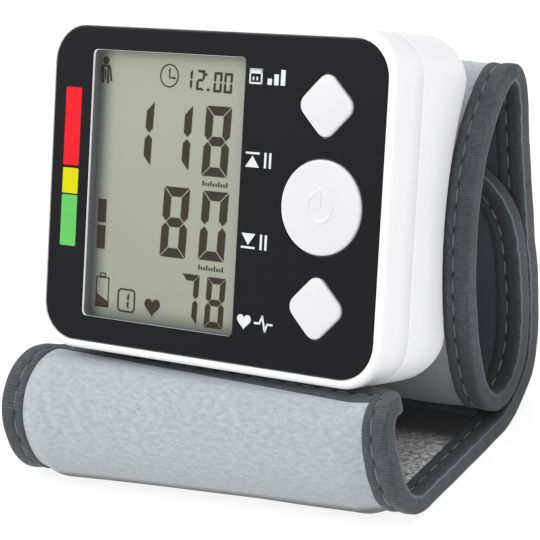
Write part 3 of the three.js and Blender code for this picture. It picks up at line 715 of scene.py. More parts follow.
def window_outline(inset):
    """The window's outline drawn in: fully at its left, half at its top, a seventh elsewhere."""
    left, top, rest = inset, 0.025 + inset / 2, 0.01 + inset / 7
    return outline(WINDOW_WIDTH - left - rest, WINDOW_HEIGHT - top - rest, WINDOW_RADIUS,
                   WINDOW_X + (left - rest) / 2, WINDOW_Z + (rest - top) / 2, arc=12, side=10)


def panel_outline(grow, arc=12, side=10):
    """The face panel's outline, grown by a margin."""
    return outline(PANEL_WIDTH + 2 * grow, PANEL_HEIGHT + 2 * grow, PANEL_RADIUS + grow, arc=arc, side=side)


def front_shell():
    """Front casing: side wall, rounded front edge, rim, the panel's pocket and the window's lip."""
    levels = parting_lip(-1)
    levels += [(case_outline(0), depth) for depth in (PARTING - 0.2, PARTING / 2, FRONT_ROUND + 0.1)]
    for angle in np.linspace(0, QUARTER, 8):
        drawn = FRONT_ROUND * (1 - math.cos(angle))
        levels.append((case_outline(drawn), FRONT_ROUND * (1 - math.sin(angle))))
    levels += [(case_outline(FRONT_ROUND + 0.02), 0), (panel_outline(0.24), 0.01)]
    levels += [(panel_outline(0.2), depth) for depth in (0.06, POCKET_DEPTH)]
    levels += [(window_outline(inset), depth) for inset, depth in WINDOW_LIP]
    levels += [(case_outline(SIDE_WALL), depth) for depth in (FRONT_WALL_BACK, PARTING - 0.03)]
    return stack(levels + levels[:1])


def button_outline(kind, margin=0.0):
    """Round, or a rounded square stood on its corner, grown by a margin."""
    if kind == "start":
        return disc(START_RADIUS + margin, BUTTON_X, BUTTON_HEIGHTS[kind], 25)
    side = math.sqrt(2) * (SMALL_REACH + SMALL_RADIUS * (math.sqrt(2) - 1)) + 2 * margin
    square = outline(side, side, SMALL_RADIUS + margin, arc=9, side=14)
    turned = np.stack([square[:, 0] - square[:, 1], square[:, 0] + square[:, 1]], -1) / math.sqrt(2)
    return turned + (BUTTON_X, BUTTON_HEIGHTS[kind])


def cap_depth(x, z, kind, settings):
    """Depth of a button's crown: a shallow dome, and on the round one a raised ring with a gap at
    its top and an upright line through the gap."""
    reach = START_RADIUS if kind == "start" else SMALL_REACH
    radius = np.hypot(x, z)
    depth = (settings.dome * (radius / reach) ** 2 - settings.proud) / MM
    if kind != "start":
        return depth
    band = 1 - smooth_step(0.22, 0.42, np.abs(radius - SYMBOL_RADIUS))
    opening = smooth_step(0.5, 0.8, np.abs(x)) + (z < 0)
    line = 1 - smooth_step(SYMBOL_LINE, SYMBOL_LINE + 0.2, np.abs(z - SYMBOL_LINE_Z))
    line = (1 - smooth_step(0.2, 0.4, np.abs(x))) * line
    return depth - SYMBOL_RELIEF * np.maximum(band * np.clip(opening, 0, 1), line)


def button_rows(kind, settings):
    """Crown from its middle out, a rounded edge, a straight wall and the flange that holds it in."""
    edge = settings.edge_round / MM
    middle = button_outline(kind).mean(0)
    rim = button_outline(kind, -edge)
    levels = []
    for share in np.linspace(0, 1, 64 if kind == "start" else 14):
        ring = middle + (rim - middle) * share
        levels.append((ring, cap_depth(*(ring - middle).T, kind, settings)))
    last = levels[-1][1]
    for angle in np.linspace(0, QUARTER, 7)[1:]:
        ring = button_outline(kind, edge * (math.sin(angle) - 1))
        levels.append((ring, last + edge * (1 - math.cos(angle))))
    flange = button_outline(kind, FLANGE_WIDTH)
    levels += [(button_outline(kind), FLANGE_FRONT), (flange, FLANGE_FRONT), (flange, FLANGE_BACK)]
    return stack(levels + [(pole(rim), FLANGE_BACK)])


def button_holes(front, back):
    """Openings for the three buttons through a wall between two depths."""
    return [(button_outline(kind, GAP), front, back) for kind in BUTTON_HEIGHTS]


def cover_hole():
    """Block for the battery cover's opening in the left wall."""
    x = -CASE_WIDTH / 2 - GAP + COVER_DEEP / 2
    block = outline(COVER_DEEP + 2 * GAP, 2 * (COVER_HALF + GAP), 0.3, x - 2, 0, arc=3, side=0)
    return block, COVER_FRONT - GAP, COVER_BACK + GAP


def upright_skin(rows):
    """Skin of one grid of points of the upright unit."""
    return Skin().add(place(rows))


def make_casing(settings):
    """Front and rear casings with their openings for buttons, cover, tube and screws."""
    white = moulded_plastic("white_housing", screen(settings.colour), settings.gloss)
    make_piece("front_casing", upright_skin(front_shell()), white, "white_plastic",
               replaces=["front_case"], holes=[cover_hole(), *button_holes(0.3, 3.5)])
    holes = [cover_hole(), (disc(TUBE_RADIUS + GAP, TUBE_X, 0), 15, 30)]
    for x in (-SCREW_X, SCREW_X):
        for z in (-SCREW_Z, SCREW_Z):
            holes.append((disc(SCREW_HEAD_RADIUS + GAP, x, z), rear_depth(z) - SCREW_SEAT, REAR_DEEPEST))
    make_piece("rear_casing", upright_skin(rear_shell()), white, "white_plastic",
               replaces=["rear_case"], holes=holes)


def make_panel(settings):
    """Black face panel with its window and button openings, the level bars and the printed signs."""
    black = printed_gloss("black_panel_face", screen(settings.colour), settings.gloss)
    face = lambda inset: panel_outline(-inset, 14, 4)
    levels = [(pole(face(1)), 0), (face(0.3), 0), (face(0.16), 0), (face(0.06), 0.03), (face(0), 0.12)]
    levels += [(face(0), PANEL_THICKNESS), (pole(face(1)), PANEL_THICKNESS)]
    window = outline(WINDOW_WIDTH, WINDOW_HEIGHT, WINDOW_RADIUS, WINDOW_X, WINDOW_Z, arc=8, side=2)
    make_piece("black_face_panel", upright_skin(stack(levels)), black, "black_panel",
               replaces=["face_panel"], holes=[(window, -1, 2), *button_holes(-1, 2)])
    for name, low, high, colour in LEVEL_BARS:
        bar = outline(BAR_WIDTH, high - low, 0.25, BAR_X, (low + high) / 2, arc=5, side=1)
        make_piece(f"{name}_level_bar", upright_plates((bar, PRINT_FRONT, PRINT_BACK)),
                   printed_gloss(f"{name}_print", colour, 0.4), "black_panel")
    marks = upright_plates(*[(shape, PRINT_FRONT, PRINT_BACK) for shape in panel_marks()])
    make_piece("panel_marks", marks, printed_gloss("white_print", (226, 228, 232), 0.45), "black_panel")


def box_mark(left, right, bottom, top, radius=0.02):
    """Flat bar or box outline from its edges."""
    return outline(right - left, top - bottom, radius, (left + right) / 2, (bottom + top) / 2, arc=4, side=0)


def ring_bars(left, right, bottom, top, stroke):
    """Four bars that frame a box."""
    return [
        box_mark(left, right, top - stroke, top), box_mark(left, right, bottom, bottom + stroke),
        box_mark(left, left + stroke, bottom, top), box_mark(right - stroke, right, bottom, top),
    ]


def heart(x, z, width):
    """Heart curve: 16 sine cubed across, and 13, 5, 2 and 1 cosines of 1 to 4 turns up."""
    t = np.linspace(0, 2 * math.pi, 49)[:-1]
    up = 13 * np.cos(t) - 5 * np.cos(2 * t) - 2 * np.cos(3 * t) - np.cos(4 * t)
    return np.stack([16 * np.sin(t) ** 3, up], -1) * width / 32 + (x, z)


def triangle(x, z, width, height):
    """Triangle with its point up, or down where its height is negative."""
    return np.array([[-width / 2, -height / 2], [width / 2, -height / 2], [0, height / 2]]) + (x, z)


def stroke(start, end, width):
    """Bar from one point to another, with its ends a little past them."""
    run = (end - start) / np.linalg.norm(end - start)
    side = np.array([-run[1], run[0]]) * width / 2
    reach = run * width / 3
    return np.array([start - reach - side, end + reach - side, end + reach + side, start - reach + side])


def panel_marks():
    """Plain signs beside the display: a calendar, an upper and a lower limit, and a beating heart."""
    left, half = MARK_LEFT, MARK_HEIGHT / 2
    bar = lambda start, width, low, high: box_mark(left + start, left + start + width, low, high)
    shapes = ring_bars(left, left + 3, DATE_Z - half, DATE_Z + half, 0.35)
    shapes += [bar(0, 3, DATE_Z + half - 0.95, DATE_Z + half)]
    shapes += [bar(0.8 + 0.85 * i, 0.35, DATE_Z - 0.75, DATE_Z - 0.1) for i in (0, 1)]
    shapes += [bar(4.2 + 1.5 * i, 1, DATE_Z - half, DATE_Z + half * share)
               for i, share in enumerate((-0.2, 0.4, 1.0))]
    for z, sign in ((UPPER_Z, 1), (LOWER_Z, -1)):
        shapes += [triangle(left + 1.7, z - sign * 0.35, 3.2, sign * 2.2)]
        shapes += [bar(0.1, 3.2, z + sign * 1.2 - 0.2, z + sign * 1.2 + 0.2)]
        shapes += [bar(4.4 + 1.1 * i, 0.5, z - half, z + half) for i in (0, 1)]
    shapes += [heart(left + 1.7, PULSE_Z + 0.1, 3.2)]
    beat = np.array([[4.2, 0], [5.3, 0], [5.9, 1.4], [6.6, -1.4], [7.1, 0], [8.2, 0]]) + (left, PULSE_Z)
    return shapes + [stroke(start, end, 0.4) for start, end in zip(beat[:-1], beat[1:])]


def digit(text, x, z, w, h, t, slant=0.035):
    """Seven mitred bars of a display digit of a width, height and bar weight, those that the figure
    lights, from its lower left."""
    gap, middle = t * 0.11, h / 2
    side = np.array([[0, h - gap], [t, h - t - gap], [t, middle + t / 2 + gap], [t / 2, middle + gap],
                     [0, middle + t / 2 + gap]])
    flat = np.array([[gap, h], [w - gap, h], [w - t - gap, h - t], [t + gap, h - t]])
    across = np.array([[t / 2 + gap, middle], [t + gap, middle + t / 2], [w - t - gap, middle + t / 2],
                       [w - t / 2 - gap, middle], [w - t - gap, middle - t / 2], [t + gap, middle - t / 2]])
    right, under = np.array([-1, 1]), np.array([1, -1])
    bars = {
        "a": flat, "g": across, "f": side, "b": side * right + (w, 0), "e": side * under + (0, h),
        "c": side * -1 + (w, h), "d": flat * under + (0, h),
    }
    shapes = [bars[name].copy() for name in LIT_BARS[text]]
    for points in shapes:
        points[:, 0] += slant * points[:, 1]
    return [points + (x, z) for points in shapes]


def display_shapes():
    """Everything that the display shows: figures, level blocks and plain signs."""
    shapes = [shape for row in DISPLAY_DIGITS for shape in digit(*row)]
    shapes += [disc(0.27, -3.2, 22.9, 4), disc(0.3, -2.6, 20.05, 4)]
    shapes += [box_mark(-28.35, -26.3, -7.4, -2.8), box_mark(-28.35, -26.3, -12.65, -8.0)]
    # Cell sign: case, nub and the slanting level in it
    shapes += ring_bars(-28.0, -24.65, -24.2, -18.2, 0.22)
    shapes += ring_bars(-27.1, -25.6, -18.25, -17.4, 0.2)
    shapes += [np.array([[-28.0, -24.2], [-24.65, -24.2], [-24.65, -23.1], [-28.0, -21.5]])]
    # Store sign: a plain figure, whose frame is a ring plate; and the heart beside it
    shapes += [*digit("1", -22.25, -23.9, 2.7, 3.1, 0.45), heart(-13.6, -22.75, 3.85)]
    # Clock: its hands, whose rim is a ring plate
    shapes += [box_mark(-12.2, -11.98, 21.9, 23.5), box_mark(-12.1, -10.9, 21.75, 21.97)]
    shapes += [triangle(-12.09, 23.45, 0.6, 0.55), disc(0.26, -10.9, 21.86, 4)]
    # Figure of a user
    shapes += [disc(0.78, USER_X, 24.5, 7), box_mark(USER_X - 0.14, USER_X + 0.14, 20.75, 22.7, 0.1)]
    for half in USER_HALF:
        shapes += [np.array(half) + (USER_X, 0), np.array(half) * (-1, 1) + (USER_X, 0)]
    # Unit places: rows of plain ticks, each third one taller
    for z in UNIT_ROWS:
        shapes += [box_mark(left, left + 0.3, z, z + (0.95 if i % 3 == 0 else 0.6))
                   for i, left in enumerate(np.arange(-2.8, 3.1, 0.62))]
    return shapes


def ring_plate(out, into):
    """Ring: an outer and an inner outline at two depths, closed on itself."""
    return stack([(out, INK_FRONT), (out, INK_BACK), (into, INK_BACK), (into, INK_FRONT), (out, INK_FRONT)])


def make_display(settings):
    """Liquid crystal glass behind the window, a grey ring on the window's inner wall that stands in for its
    shade, and the dark marks that it shows.
    """
    wide, high = WINDOW_WIDTH + 2 * GLASS_MARGIN, WINDOW_HEIGHT + 2 * GLASS_MARGIN
    face = lambda inset: outline(wide - 2 * inset, high - 2 * inset, WINDOW_RADIUS, WINDOW_X, WINDOW_Z)
    back = GLASS_FRONT + GLASS_THICKNESS
    levels = [(pole(face(1)), GLASS_FRONT), (face(0.2), GLASS_FRONT), (face(0.15), GLASS_FRONT)]
    levels += [(face(0), GLASS_FRONT + 0.15), (face(0), back), (pole(face(1)), back)]
    ground = display_finish("display_ground", screen(settings.ground))
    make_piece("display_crystal", upright_skin(stack(levels)), ground, "display_glass",
               replaces=["display_glass"])
    # Painted shade: a grey ring on the window's inner wall stands in for the wall's shadow
    inner, outer, front = window_outline(0.42), window_outline(0.2), window_outline(0.34)
    shade_ring = [(front, 0.45), (inner, 0.55), (inner, GLASS_FRONT - 0.01), (outer, GLASS_FRONT - 0.01)]
    make_piece("window_gasket", upright_skin(stack(shade_ring + shade_ring[:1])),
               soft_rubber("grey_gasket", WALL_SHADE_GREY), "soft_rubber")
    skin = upright_plates(*[(shape, INK_FRONT, INK_BACK) for shape in display_shapes()])
    rims = [disc(CLOCK_RADIUS + side * CLOCK_STROKE / 2, CLOCK_X, CLOCK_Z, 14) for side in (1, -1)]
    frames = [outline(4.3 + side, 4.5 + side, 0.9 + side / 2, -20.15, -22.3) for side in (0.17, -0.5)]
    for out, into in (rims, frames):
        skin.add(place(ring_plate(out, into)))
    ink = printed_gloss("display_ink", screen(settings.marks), 0.42)
    make_piece("display_marks", skin, ink, "display_glass")


def make_buttons(settings):
    """Three white push buttons, each with a soft crown, a rounded edge and its flange."""
    white = moulded_plastic("white_buttons", screen(settings.colour), 0.34)
    for kind in BUTTON_HEIGHTS:
        make_piece(f"{kind}_push_button", upright_skin(button_rows(kind, settings)), white,
                   "white_plastic", f"{kind}_button", [f"{kind}_button"], sharp=50)


def distances(points):
    """Distance walked along a line of points to each of them."""
    return np.concatenate([[0], np.cumsum(np.linalg.norm(np.diff(points, axis=0), axis=1))])


def between(distance, known, values):
    """Each column of values at distances that lie between the known ones."""
    return np.stack([np.interp(distance, known, column) for column in values.T], -1)


class Route:
    """A centre line in depth and height, walked by distance along it."""

    def __init__(self, points):
        self.points, self.distance = points, distances(points)
        self.length = self.distance[-1]
        run = np.gradient(points, self.distance, axis=0)
        self.run = run / np.linalg.norm(run, axis=1)[:, None]

    def at(self, distance, out):
        """Direction at each distance, and the point there, moved out to the velour side."""
        point, run = (between(distance, self.distance, part) for part in (self.points, self.run))
        run /= np.linalg.norm(run, axis=-1, keepdims=True)
        return run, point + np.stack([-run[..., 1], run[..., 0]], -1) * out[..., None]


def spline(points, steps=40):
    """Catmull-Rom curve: each span is a cubic whose end slopes are half the way between the
    neighbours of its ends."""
    before = np.concatenate([points[:1], points[:-2]])[:, None]
    after = np.concatenate([points[2:], points[-1:]])[:, None]
    start, end = points[:-1, None], points[1:, None]
    t = np.linspace(0, 1, steps, endpoint=False)[None, :, None]
    curve = cubic(start, end, (end - before) / 2, (after - start) / 2, t)
    return np.concatenate([curve.reshape(-1, 2), points[-1:]])


LOOP = Route(spline(LOOP_SHARES * (LOOP_DEPTH, LOOP_HEIGHT) + (REAR_DEPTH + LOOP_SEAT + OUTER, 0)))
LAST = LOOP.length - CREASE_REACH


def crease_place():
    """The crease and the housing's lower front edge once the unit leans back: place, height."""
    run, point = LOOP.at(np.array([LOOP.length]), np.zeros(1))
    y, z = (point + run * (OUTER + CREASE_GAP))[0]
    c, s = math.cos(LEAN), math.sin(LEAN)
    return y * c + z * s, (-LOWER_EDGE * s, OUTER + y * s - z * c - LOWER_EDGE * c)


def tail_route(behind, reach, back, below, hook, low, high, past, rise):
    """Down to the table in a parabola, flat, up and over two quarter superellipses, a little down
    an ellipse and straight on."""
    crease, edge = crease_place()
    half = (edge[1] + rise - BAND_THICKNESS - below) / 2
    start, middle = np.array([crease, OUTER + rise]), np.array([crease - TAIL_SETTLE / 2, OUTER])
    landing, foot = np.array([crease - TAIL_SETTLE, OUTER]), np.array([edge[0] + behind, OUTER])
    t = np.linspace(0, 1, 60, endpoint=False)[:, None]
    fall = start * (1 - t) ** 2 + middle * 2 * t * (1 - t) + landing * t ** 2
    flat = landing + (foot - landing) * t
    up = np.linspace(0, QUARTER, 80, endpoint=False)
    rising = foot + np.stack([-np.sin(up) ** (2 / low), 1 - np.cos(up) ** (2 / low)], -1) * (reach, half)
    over = np.linspace(0, QUARTER, 90, endpoint=False)
    squared = np.stack([1 - np.cos(over) ** (2 / high), 1 + np.sin(over) ** (2 / high)], -1)
    down = np.linspace(0, math.radians(past), 30)
    beyond = np.stack([1 + np.sin(down), 1 + np.cos(down)], -1)
    top = (foot[0] - reach, foot[1]) + np.concatenate([squared, beyond]) * (back, half)
    run = (top[-1] - top[-2]) / np.linalg.norm(top[-1] - top[-2])
    straight = top[-1] + run * hook * np.linspace(0, 1, 12)[1:, None]
    return Route(np.concatenate([fall, flat, rising, top, straight]))


TAIL_EDGES = (tail_route(*TAIL_LEFT, CUFF_WIDTH * math.sin(SIDE_TILT)), tail_route(*TAIL_RIGHT, 0))
TAIL_LENGTH = TAIL_EDGES[1].length


def loop_place(along, across, out):
    """Where a spot of the wound band lies, from its distance along, across and out of the middle."""
    spot = LOOP.at(along, out)[1]
    return place(np.stack([across, spot[..., 0], spot[..., 1]], -1))


def tail_place(along, across, out):
    """Where a spot of the tail lies: straight across from its left edge's curve to its right one's,
    and lifted at the curl's right corner, beside the housing."""
    left, right = (edge.at(along * edge.length / TAIL_LENGTH, out)[1] for edge in TAIL_EDGES)
    spot = left + (right - left) * (across / CUFF_WIDTH + 0.5)[..., None]
    lift = smooth_step(CORNER_ACROSS, HALF, across) * smooth_step(CORNER_LOW, CORNER_HIGH, spot[..., 1])
    spot[..., 1] += CORNER_LIFT * lift * (1 - smooth_step(TAIL_LENGTH - CORNER_FADE, TAIL_LENGTH, along))
    return np.stack([across + TAIL_CENTRE_X, spot[..., 0] + FACE_CENTRE[1], spot[..., 1]], -1)


def crease_point(along, across, out):
    """A cubic from the wound band to the tail that leaves and arrives in their directions."""
    small = 0.5
    spot = lambda where, distance: where(np.full_like(along, distance), across, out)
    start, end = spot(loop_place, LAST), spot(tail_place, CREASE_REACH)
    leave = (start - spot(loop_place, LAST - small)) * CREASE_LENGTH / small
    arrive = (spot(tail_place, CREASE_REACH + small) - end) * CREASE_LENGTH / small
    return cubic(start, end, leave, arrive, (along / CREASE_LENGTH)[..., None])


def inset(from_end, across, radius):
    """How far a spot lies inside the band's outline, whose end has rounded corners."""
    back, side = radius - from_end, np.abs(across) - (HALF - radius)
    corner = radius - np.hypot(back, side)
    return np.where((back > 0) & (side > 0), corner, np.minimum(from_end, HALF - np.abs(across)))


def half_width(from_end, radius):
    """Half width of a cloth that ends under the tape, narrowing in the rounded corners."""
    across = np.sqrt(np.clip((radius - END_HIDDEN) ** 2 - (radius - from_end) ** 2, 0, None))
    return np.where(from_end < radius, HALF - radius + across, HALF - END_HIDDEN)


# Stretches of the band: how their spots are placed, where they start and end, how far their cut
# end lies from a spot, the radius of that end's corners and where their pattern starts
Stretch = namedtuple("Stretch", "where start end from_end radius pattern")
STRETCHES = {
    "wound": Stretch(loop_place, END_HIDDEN, LAST, lambda s: s, INNER_END_RADIUS, 0),
    "crease": Stretch(crease_point, 0, CREASE_LENGTH, lambda s: s * 0 + 99, TAPE_WIDTH, LAST),
    "loose": Stretch(tail_place, CREASE_REACH, TAIL_LENGTH - END_HIDDEN, lambda s: TAIL_LENGTH - s,
                     TAIL_END_RADIUS, LAST + CREASE_LENGTH - CREASE_REACH),
}


def cloth(stretch, side, loose, settings):
    """Closed thin sheet: its face swells a little between the tapes and dips under them, as
    face + crown times an ease of the distance from the edge, and is pressed flat where it would go
    below the table; its other side is flat."""
    reach, plump = (LOOSE_SWELL_REACH, LOOSE_PLUMP) if loose else (SWELL_REACH, 1)
    count = max(8, int((stretch.end - stretch.start) / CLOTH_STEP))
    along = np.linspace(stretch.start, stretch.end, count)[:, None]
    from_end = stretch.from_end(along)
    share = np.sin(np.linspace(-1, 1, CLOTH_COLUMNS) * QUARTER)[None, :]
    across = share * half_width(from_end, stretch.radius)
    along = along + across * 0
    depth = inset(from_end + across * 0, across, stretch.radius)
    tucked = np.clip((depth - END_HIDDEN) / CLOTH_TUCK, 0, 1) * TUCK_RISE
    swell = smooth_step(TAPE_WIDTH - SWELL_START, TAPE_WIDTH + reach, depth)
    pattern = along + stretch.pattern
    uneven = waves(pattern + across * 0.3, *CLOTH_WAVES) * waves(across, *CROSS_WAVES)
    out = CLOTH_FACE + tucked + swell * (plump * settings.crown + uneven * settings.unevenness) / MM
    inner = np.full_like(out, VELOUR_INNER if side > 0 else LINING_INNER)
    points = np.concatenate([
        stretch.where(along, across, side * out), stretch.where(along, across, side * inner)[:, ::-1]], 1)
    points[..., 2] = np.maximum(points[..., 2], 0)
    spread = np.stack([pattern, across], -1)
    spread = np.concatenate([spread, spread[:, ::-1]], 1)
    return Skin().add(points, ends=True, uv=spread)


def edge_walk(stretch, side=0):
    """Stations round the band's outline, with the way inward at each: down one long side, round the
    cut end and back up the other; or along one side alone where the stretch has no cut end."""
    if side:
        along = np.linspace(stretch.start, stretch.end, 18)
        spots = np.stack([along, along * 0 + side * HALF], -1)
        return spots, np.broadcast_to([0.0, -side], spots.shape), along - stretch.start
    far = stretch.end if stretch.where is loop_place else TAIL_LENGTH - stretch.start
    radius, reach = stretch.radius, HALF - stretch.radius
    straight = np.linspace(far, radius, int((far - radius) / WALK_STEP))[:-1]
    turn = np.linspace(0, QUARTER, max(8, int(radius * QUARTER / WALK_STEP)))
    cross = np.linspace(-reach, 0, int(reach / WALK_STEP))[1:]
    round_in = np.stack([np.sin(turn), np.cos(turn)], -1)
    spots = np.concatenate([
        np.stack([straight, straight * 0 - HALF], -1), np.array([radius, -reach]) - radius * round_in,
        np.stack([cross * 0, cross], -1)])
    inward = np.concatenate([
        np.tile([0.0, 1.0], (len(straight), 1)), round_in, np.tile([1.0, 0.0], (len(cross), 1))])
    spots, inward = (np.concatenate([part, part[-2::-1] * (1, -1)]) for part in (spots, inward))
    walked = distances(spots)
    if stretch.where is tail_place:
        spots, inward = spots * (-1, 1) + (TAIL_LENGTH, 0), inward * (-1, 1)
    return spots, inward, walked


def tape_rows(stretch, walk):
    """Tape folded over the edge: two faces with a groove where they are sewn and a round fold
    between them (a superellipse), pulled in between the stitches and uneven along its length."""
    spots, inward, walked = walk
    face = np.array(TAPE_FACE)
    angle = np.linspace(QUARTER, -QUARTER, 18)[1:-1]
    bend = np.abs(np.stack([np.cos(angle), np.sin(angle)])) ** (2 / FOLD_POWER)
    fold = np.stack([FOLD * (1 - bend[0]), OUTER * bend[1] * np.sign(angle)], -1)
    deep, out = np.concatenate([face, fold, face[::-1] * (1, -1)]).T[:, None]
    calm = smooth_step(0, CALM_END, np.minimum(walked, walked[-1] - walked))[:, None]
    phase = np.cos(2 * math.pi * walked / STITCH_PITCH)[:, None]
    groove = np.exp(-((deep - STITCH_INSET) / GROOVE_HALF) ** 2)
    swell = 1 + calm * (TAPE_PUFF * phase * (1 - groove) - TAPE_DIP * (1 - phase) / 2 * groove)
    slack = calm * (waves(walked, *TAPE_WAVES)[:, None] + TAPE_SWAY * phase * (deep < FOLD))
    spot = spots[:, None] + inward[:, None] * (deep + slack * (deep < 5))[..., None]
    points = stretch.where(spot[..., 0], spot[..., 1], out * swell)
    return points, np.stack(np.broadcast_arrays(walked[:, None], deep * np.sign(out)), -1)


def add_stitches(skin, stretch, walk):
    """Thread between each pair of needle holes, on both faces: ellipsoids laid along the seam."""
    spots, inward, walked = walk
    turn = np.linspace(0, math.pi, 8)[:, None]
    round_it = np.linspace(0, 2 * math.pi, 9)[None, :-1]
    along = -STITCH_LENGTH / 2 * np.cos(turn) + round_it * 0
    side = THREAD_HALF[0] * np.sin(turn) * np.cos(round_it)
    rise = THREAD_HALF[1] * np.sin(turn) * np.sin(round_it)
    for centre in np.arange(STITCH_PITCH, walked[-1] - 1, STITCH_PITCH):
        at, into = (between(centre + along, walked, part) for part in (spots, inward))
        spot = at + into * (STITCH_INSET + side)[..., None]
        for face in (1, -1):
            points = stretch.where(spot[..., 0], spot[..., 1], face * (THREAD_OUT + rise))
            skin.add(points, uv=np.stack([along, side], -1))


def band_finishes(settings):
    """The velour, lining, hook, tape and thread finishes, made once and then found by name."""
    kinds = (
        ("cuff_velour_pile", velour, settings.velour_colour),
        ("cuff_lining_weave", plain_weave, settings.lining_colour),
        ("hook_pile", napped_hooks, settings.hook_colour),
        ("edge_tape_ribs", ribbed_tape, settings.tape_colour),
        ("seam_thread", sewing_thread, settings.thread_colour),
    )
    known = bpy.data.materials
    return [known.get(name) or make(name, screen(colour)) for name, make, colour in kinds]


def make_band(name, settings, body, length, replaces):
    """One stretch of the band: its outer and inner cloth, its tape and its seam. The cloths are
    sheets of the band's width and the stretch's length."""
    stretch, loose = STRETCHES[name], name == "loose"
    edging, seam = Skin(), Skin()
    for side in ((-1, 1) if name == "crease" else (0,)):
        walk = edge_walk(stretch, side)
        rows, spread = tape_rows(stretch, walk)
        edging.add(rows, ends=True, uv=spread)
        add_stitches(seam, stretch, walk)
    velvet, weave, hooks, tape, thread = band_finishes(settings)
    lining, slot = (hooks, "hook_fabric") if loose else (weave, "woven_lining")
    pieces = []
    for part, skin, material, use, nodes, sharp in (
        ("velour", cloth(stretch, 1, loose, settings), velvet, "velour", replaces[0], 50),
        ("inner_cloth", cloth(stretch, -1, False, settings), lining, slot, replaces[1], 50),
        ("edge_tape", edging, tape, "edge_tape", replaces[2], 60),
        ("stitches", seam, thread, "edge_tape", (), None),
    ):
        pieces.append(make_piece(f"{name}_{part}", skin, material, use, body, nodes, sharp=sharp))
    outer, under, *edge = pieces
    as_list(edge)


def make_wound_band(settings):
    """The cuff as it is wound: velour outside, woven lining inside, tape round its inner end."""
    bindings = ["end_binding", "left_binding", "right_binding"]
    make_band("wound", settings, "monitor", LOOP.length,
              (["cuff_velour"], ["cuff_lining"], bindings))


def make_loose_end(settings):
    """The tail: velour below, hooks above, tape on three sides."""
    bindings = ["tail_end_binding", "tail_left_binding", "tail_right_binding"]
    make_band("loose", settings, "tail", TAIL_LENGTH, (["tail_velour"], ["hook_patch"], bindings))


def make_crease(settings):
    """The short stretch of band that bends between the wound cuff and the tail."""
    middle = np.zeros(1)
    ends = [crease_point(middle + along, middle, middle)[0] * MM for along in (0, CREASE_LENGTH)]
    make_band("crease", settings, ("monitor", "tail", *ends), CREASE_LENGTH, ((), (), ()))


def make_inner_parts(settings):
    """Finishes of the parts inside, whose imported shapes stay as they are, and the side cover."""
    finishes = (
        (moulded_plastic("battery_cover_plastic", screen(settings.cover_colour), 0.4), "battery_cover"),
        (moulded_plastic("grey_inner_plastic", (152, 154, 158), 0.5),
         "display_holder", "battery_tray", "cuff_shell", "tail_core"),
        (moulded_plastic("black_inner_plastic", (36, 36, 38), 0.45),
         "pump_head", "air_manifold", "memory_switch", "start_switch", "set_switch"),
        (brushed_metal("bright_metal", (205, 205, 208)),
         "pump_motor", "exhaust_valve", "upper_contact", "lower_contact", "cover_contact",
         "case_screw_1", "case_screw_2", "case_screw_3", "case_screw_4", "pressure_sensor"),
        (soft_rubber("soft_rubber", (176, 172, 160)), "air_tube", "air_bladder"),
        (circuit_board("circuit_board", (22, 86, 52)), "main_board"),
        (cell_wrap("cell_wrap", (38, 44, 60)), "upper_cell", "lower_cell"),
    )
    for material, *names in finishes:
        for name in names:
            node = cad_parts[name]
            node.data.materials.clear()
            node.data.materials.append(material)


def make_studio(settings):
    """Pale floor, white surroundings, three soft lights and the camera that the photo was solved for."""
    scene = bpy.context.scene
    mesh = bpy.data.meshes.new("floor")
    corners = [(x * FLOOR_REACH, y * FLOOR_REACH, 0) for x, y in ((-1, -1), (1, -1), (1, 1), (-1, 1))]
    mesh.from_pydata(corners, [], [(0, 1, 2, 3)])
    paper = Finish("studio_paper", (120, 120, 121), 0.9, emission_color=(1, 1, 1, 1),
                   emission_strength=settings.floor_glow)
    mesh.materials.append(paper.material)
    add_object("studio_floor", mesh)
    world = bpy.data.worlds.new("studio_world")
    world.use_nodes = True
    sky = world.node_tree.nodes["Background"].inputs
    sky["Color"].default_value, sky["Strength"].default_value = (1, 1, 1, 1), settings.surroundings
    scene.world = world
    for name, spot, power, size in LIGHTS:
        lamp = bpy.data.lights.new(name, "AREA")
        lamp.energy, lamp.size = getattr(settings, power), size
        light = add_object(name, lamp)
        light.location = spot
        light.rotation_euler = (Vector(FACE_CENTRE * MM) - Vector(spot)).to_track_quat("-Z", "Y").to_euler()
    lens = bpy.data.cameras.new("photo_camera")
    lens.lens, lens.sensor_width, lens.dof.use_dof = settings.lens_length, SENSOR_WIDTH, False
    camera = add_object("photo_camera", lens)
    matrix = np.eye(4)
    matrix[:3, :3], matrix[:3, 3] = TURN @ CAMERA_AXES.T, place(CAMERA_PLACE) * MM
    camera.matrix_world = Matrix(matrix.tolist())
    scene.camera = camera
    scene.view_settings.view_transform = "Standard"


def colour_setting(name, description, default):
    return FloatVectorProperty(name=name, description=description, size=3, min=0, max=1,
                               default=tuple(channel / 255 for channel in default),
                               subtype="COLOR_GAMMA")


def length_setting(name, description, default):
    return FloatProperty(name=name, description=description, default=default, unit="LENGTH", precision=5)


def share_setting(name, description, default, top=1.0):
    return FloatProperty(name=name, description=description, default=default, min=0, max=top,
                         subtype="FACTOR")


def power_setting(name, description, default):
    return FloatProperty(name=name, description=description, default=default, unit="POWER")


class MonitorCasing(bpy.types.PropertyGroup):
    colour: colour_setting("Colour", "Colour of the moulded housing", (247, 247, 250))
    gloss: share_setting("Roughness", "Roughness of the moulded housing", 0.4)


class MonitorPanel(bpy.types.PropertyGroup):
    colour: colour_setting("Colour", "Colour of the face panel", (22, 22, 25))
    gloss: share_setting("Roughness", "Roughness of the face panel", 0.42)


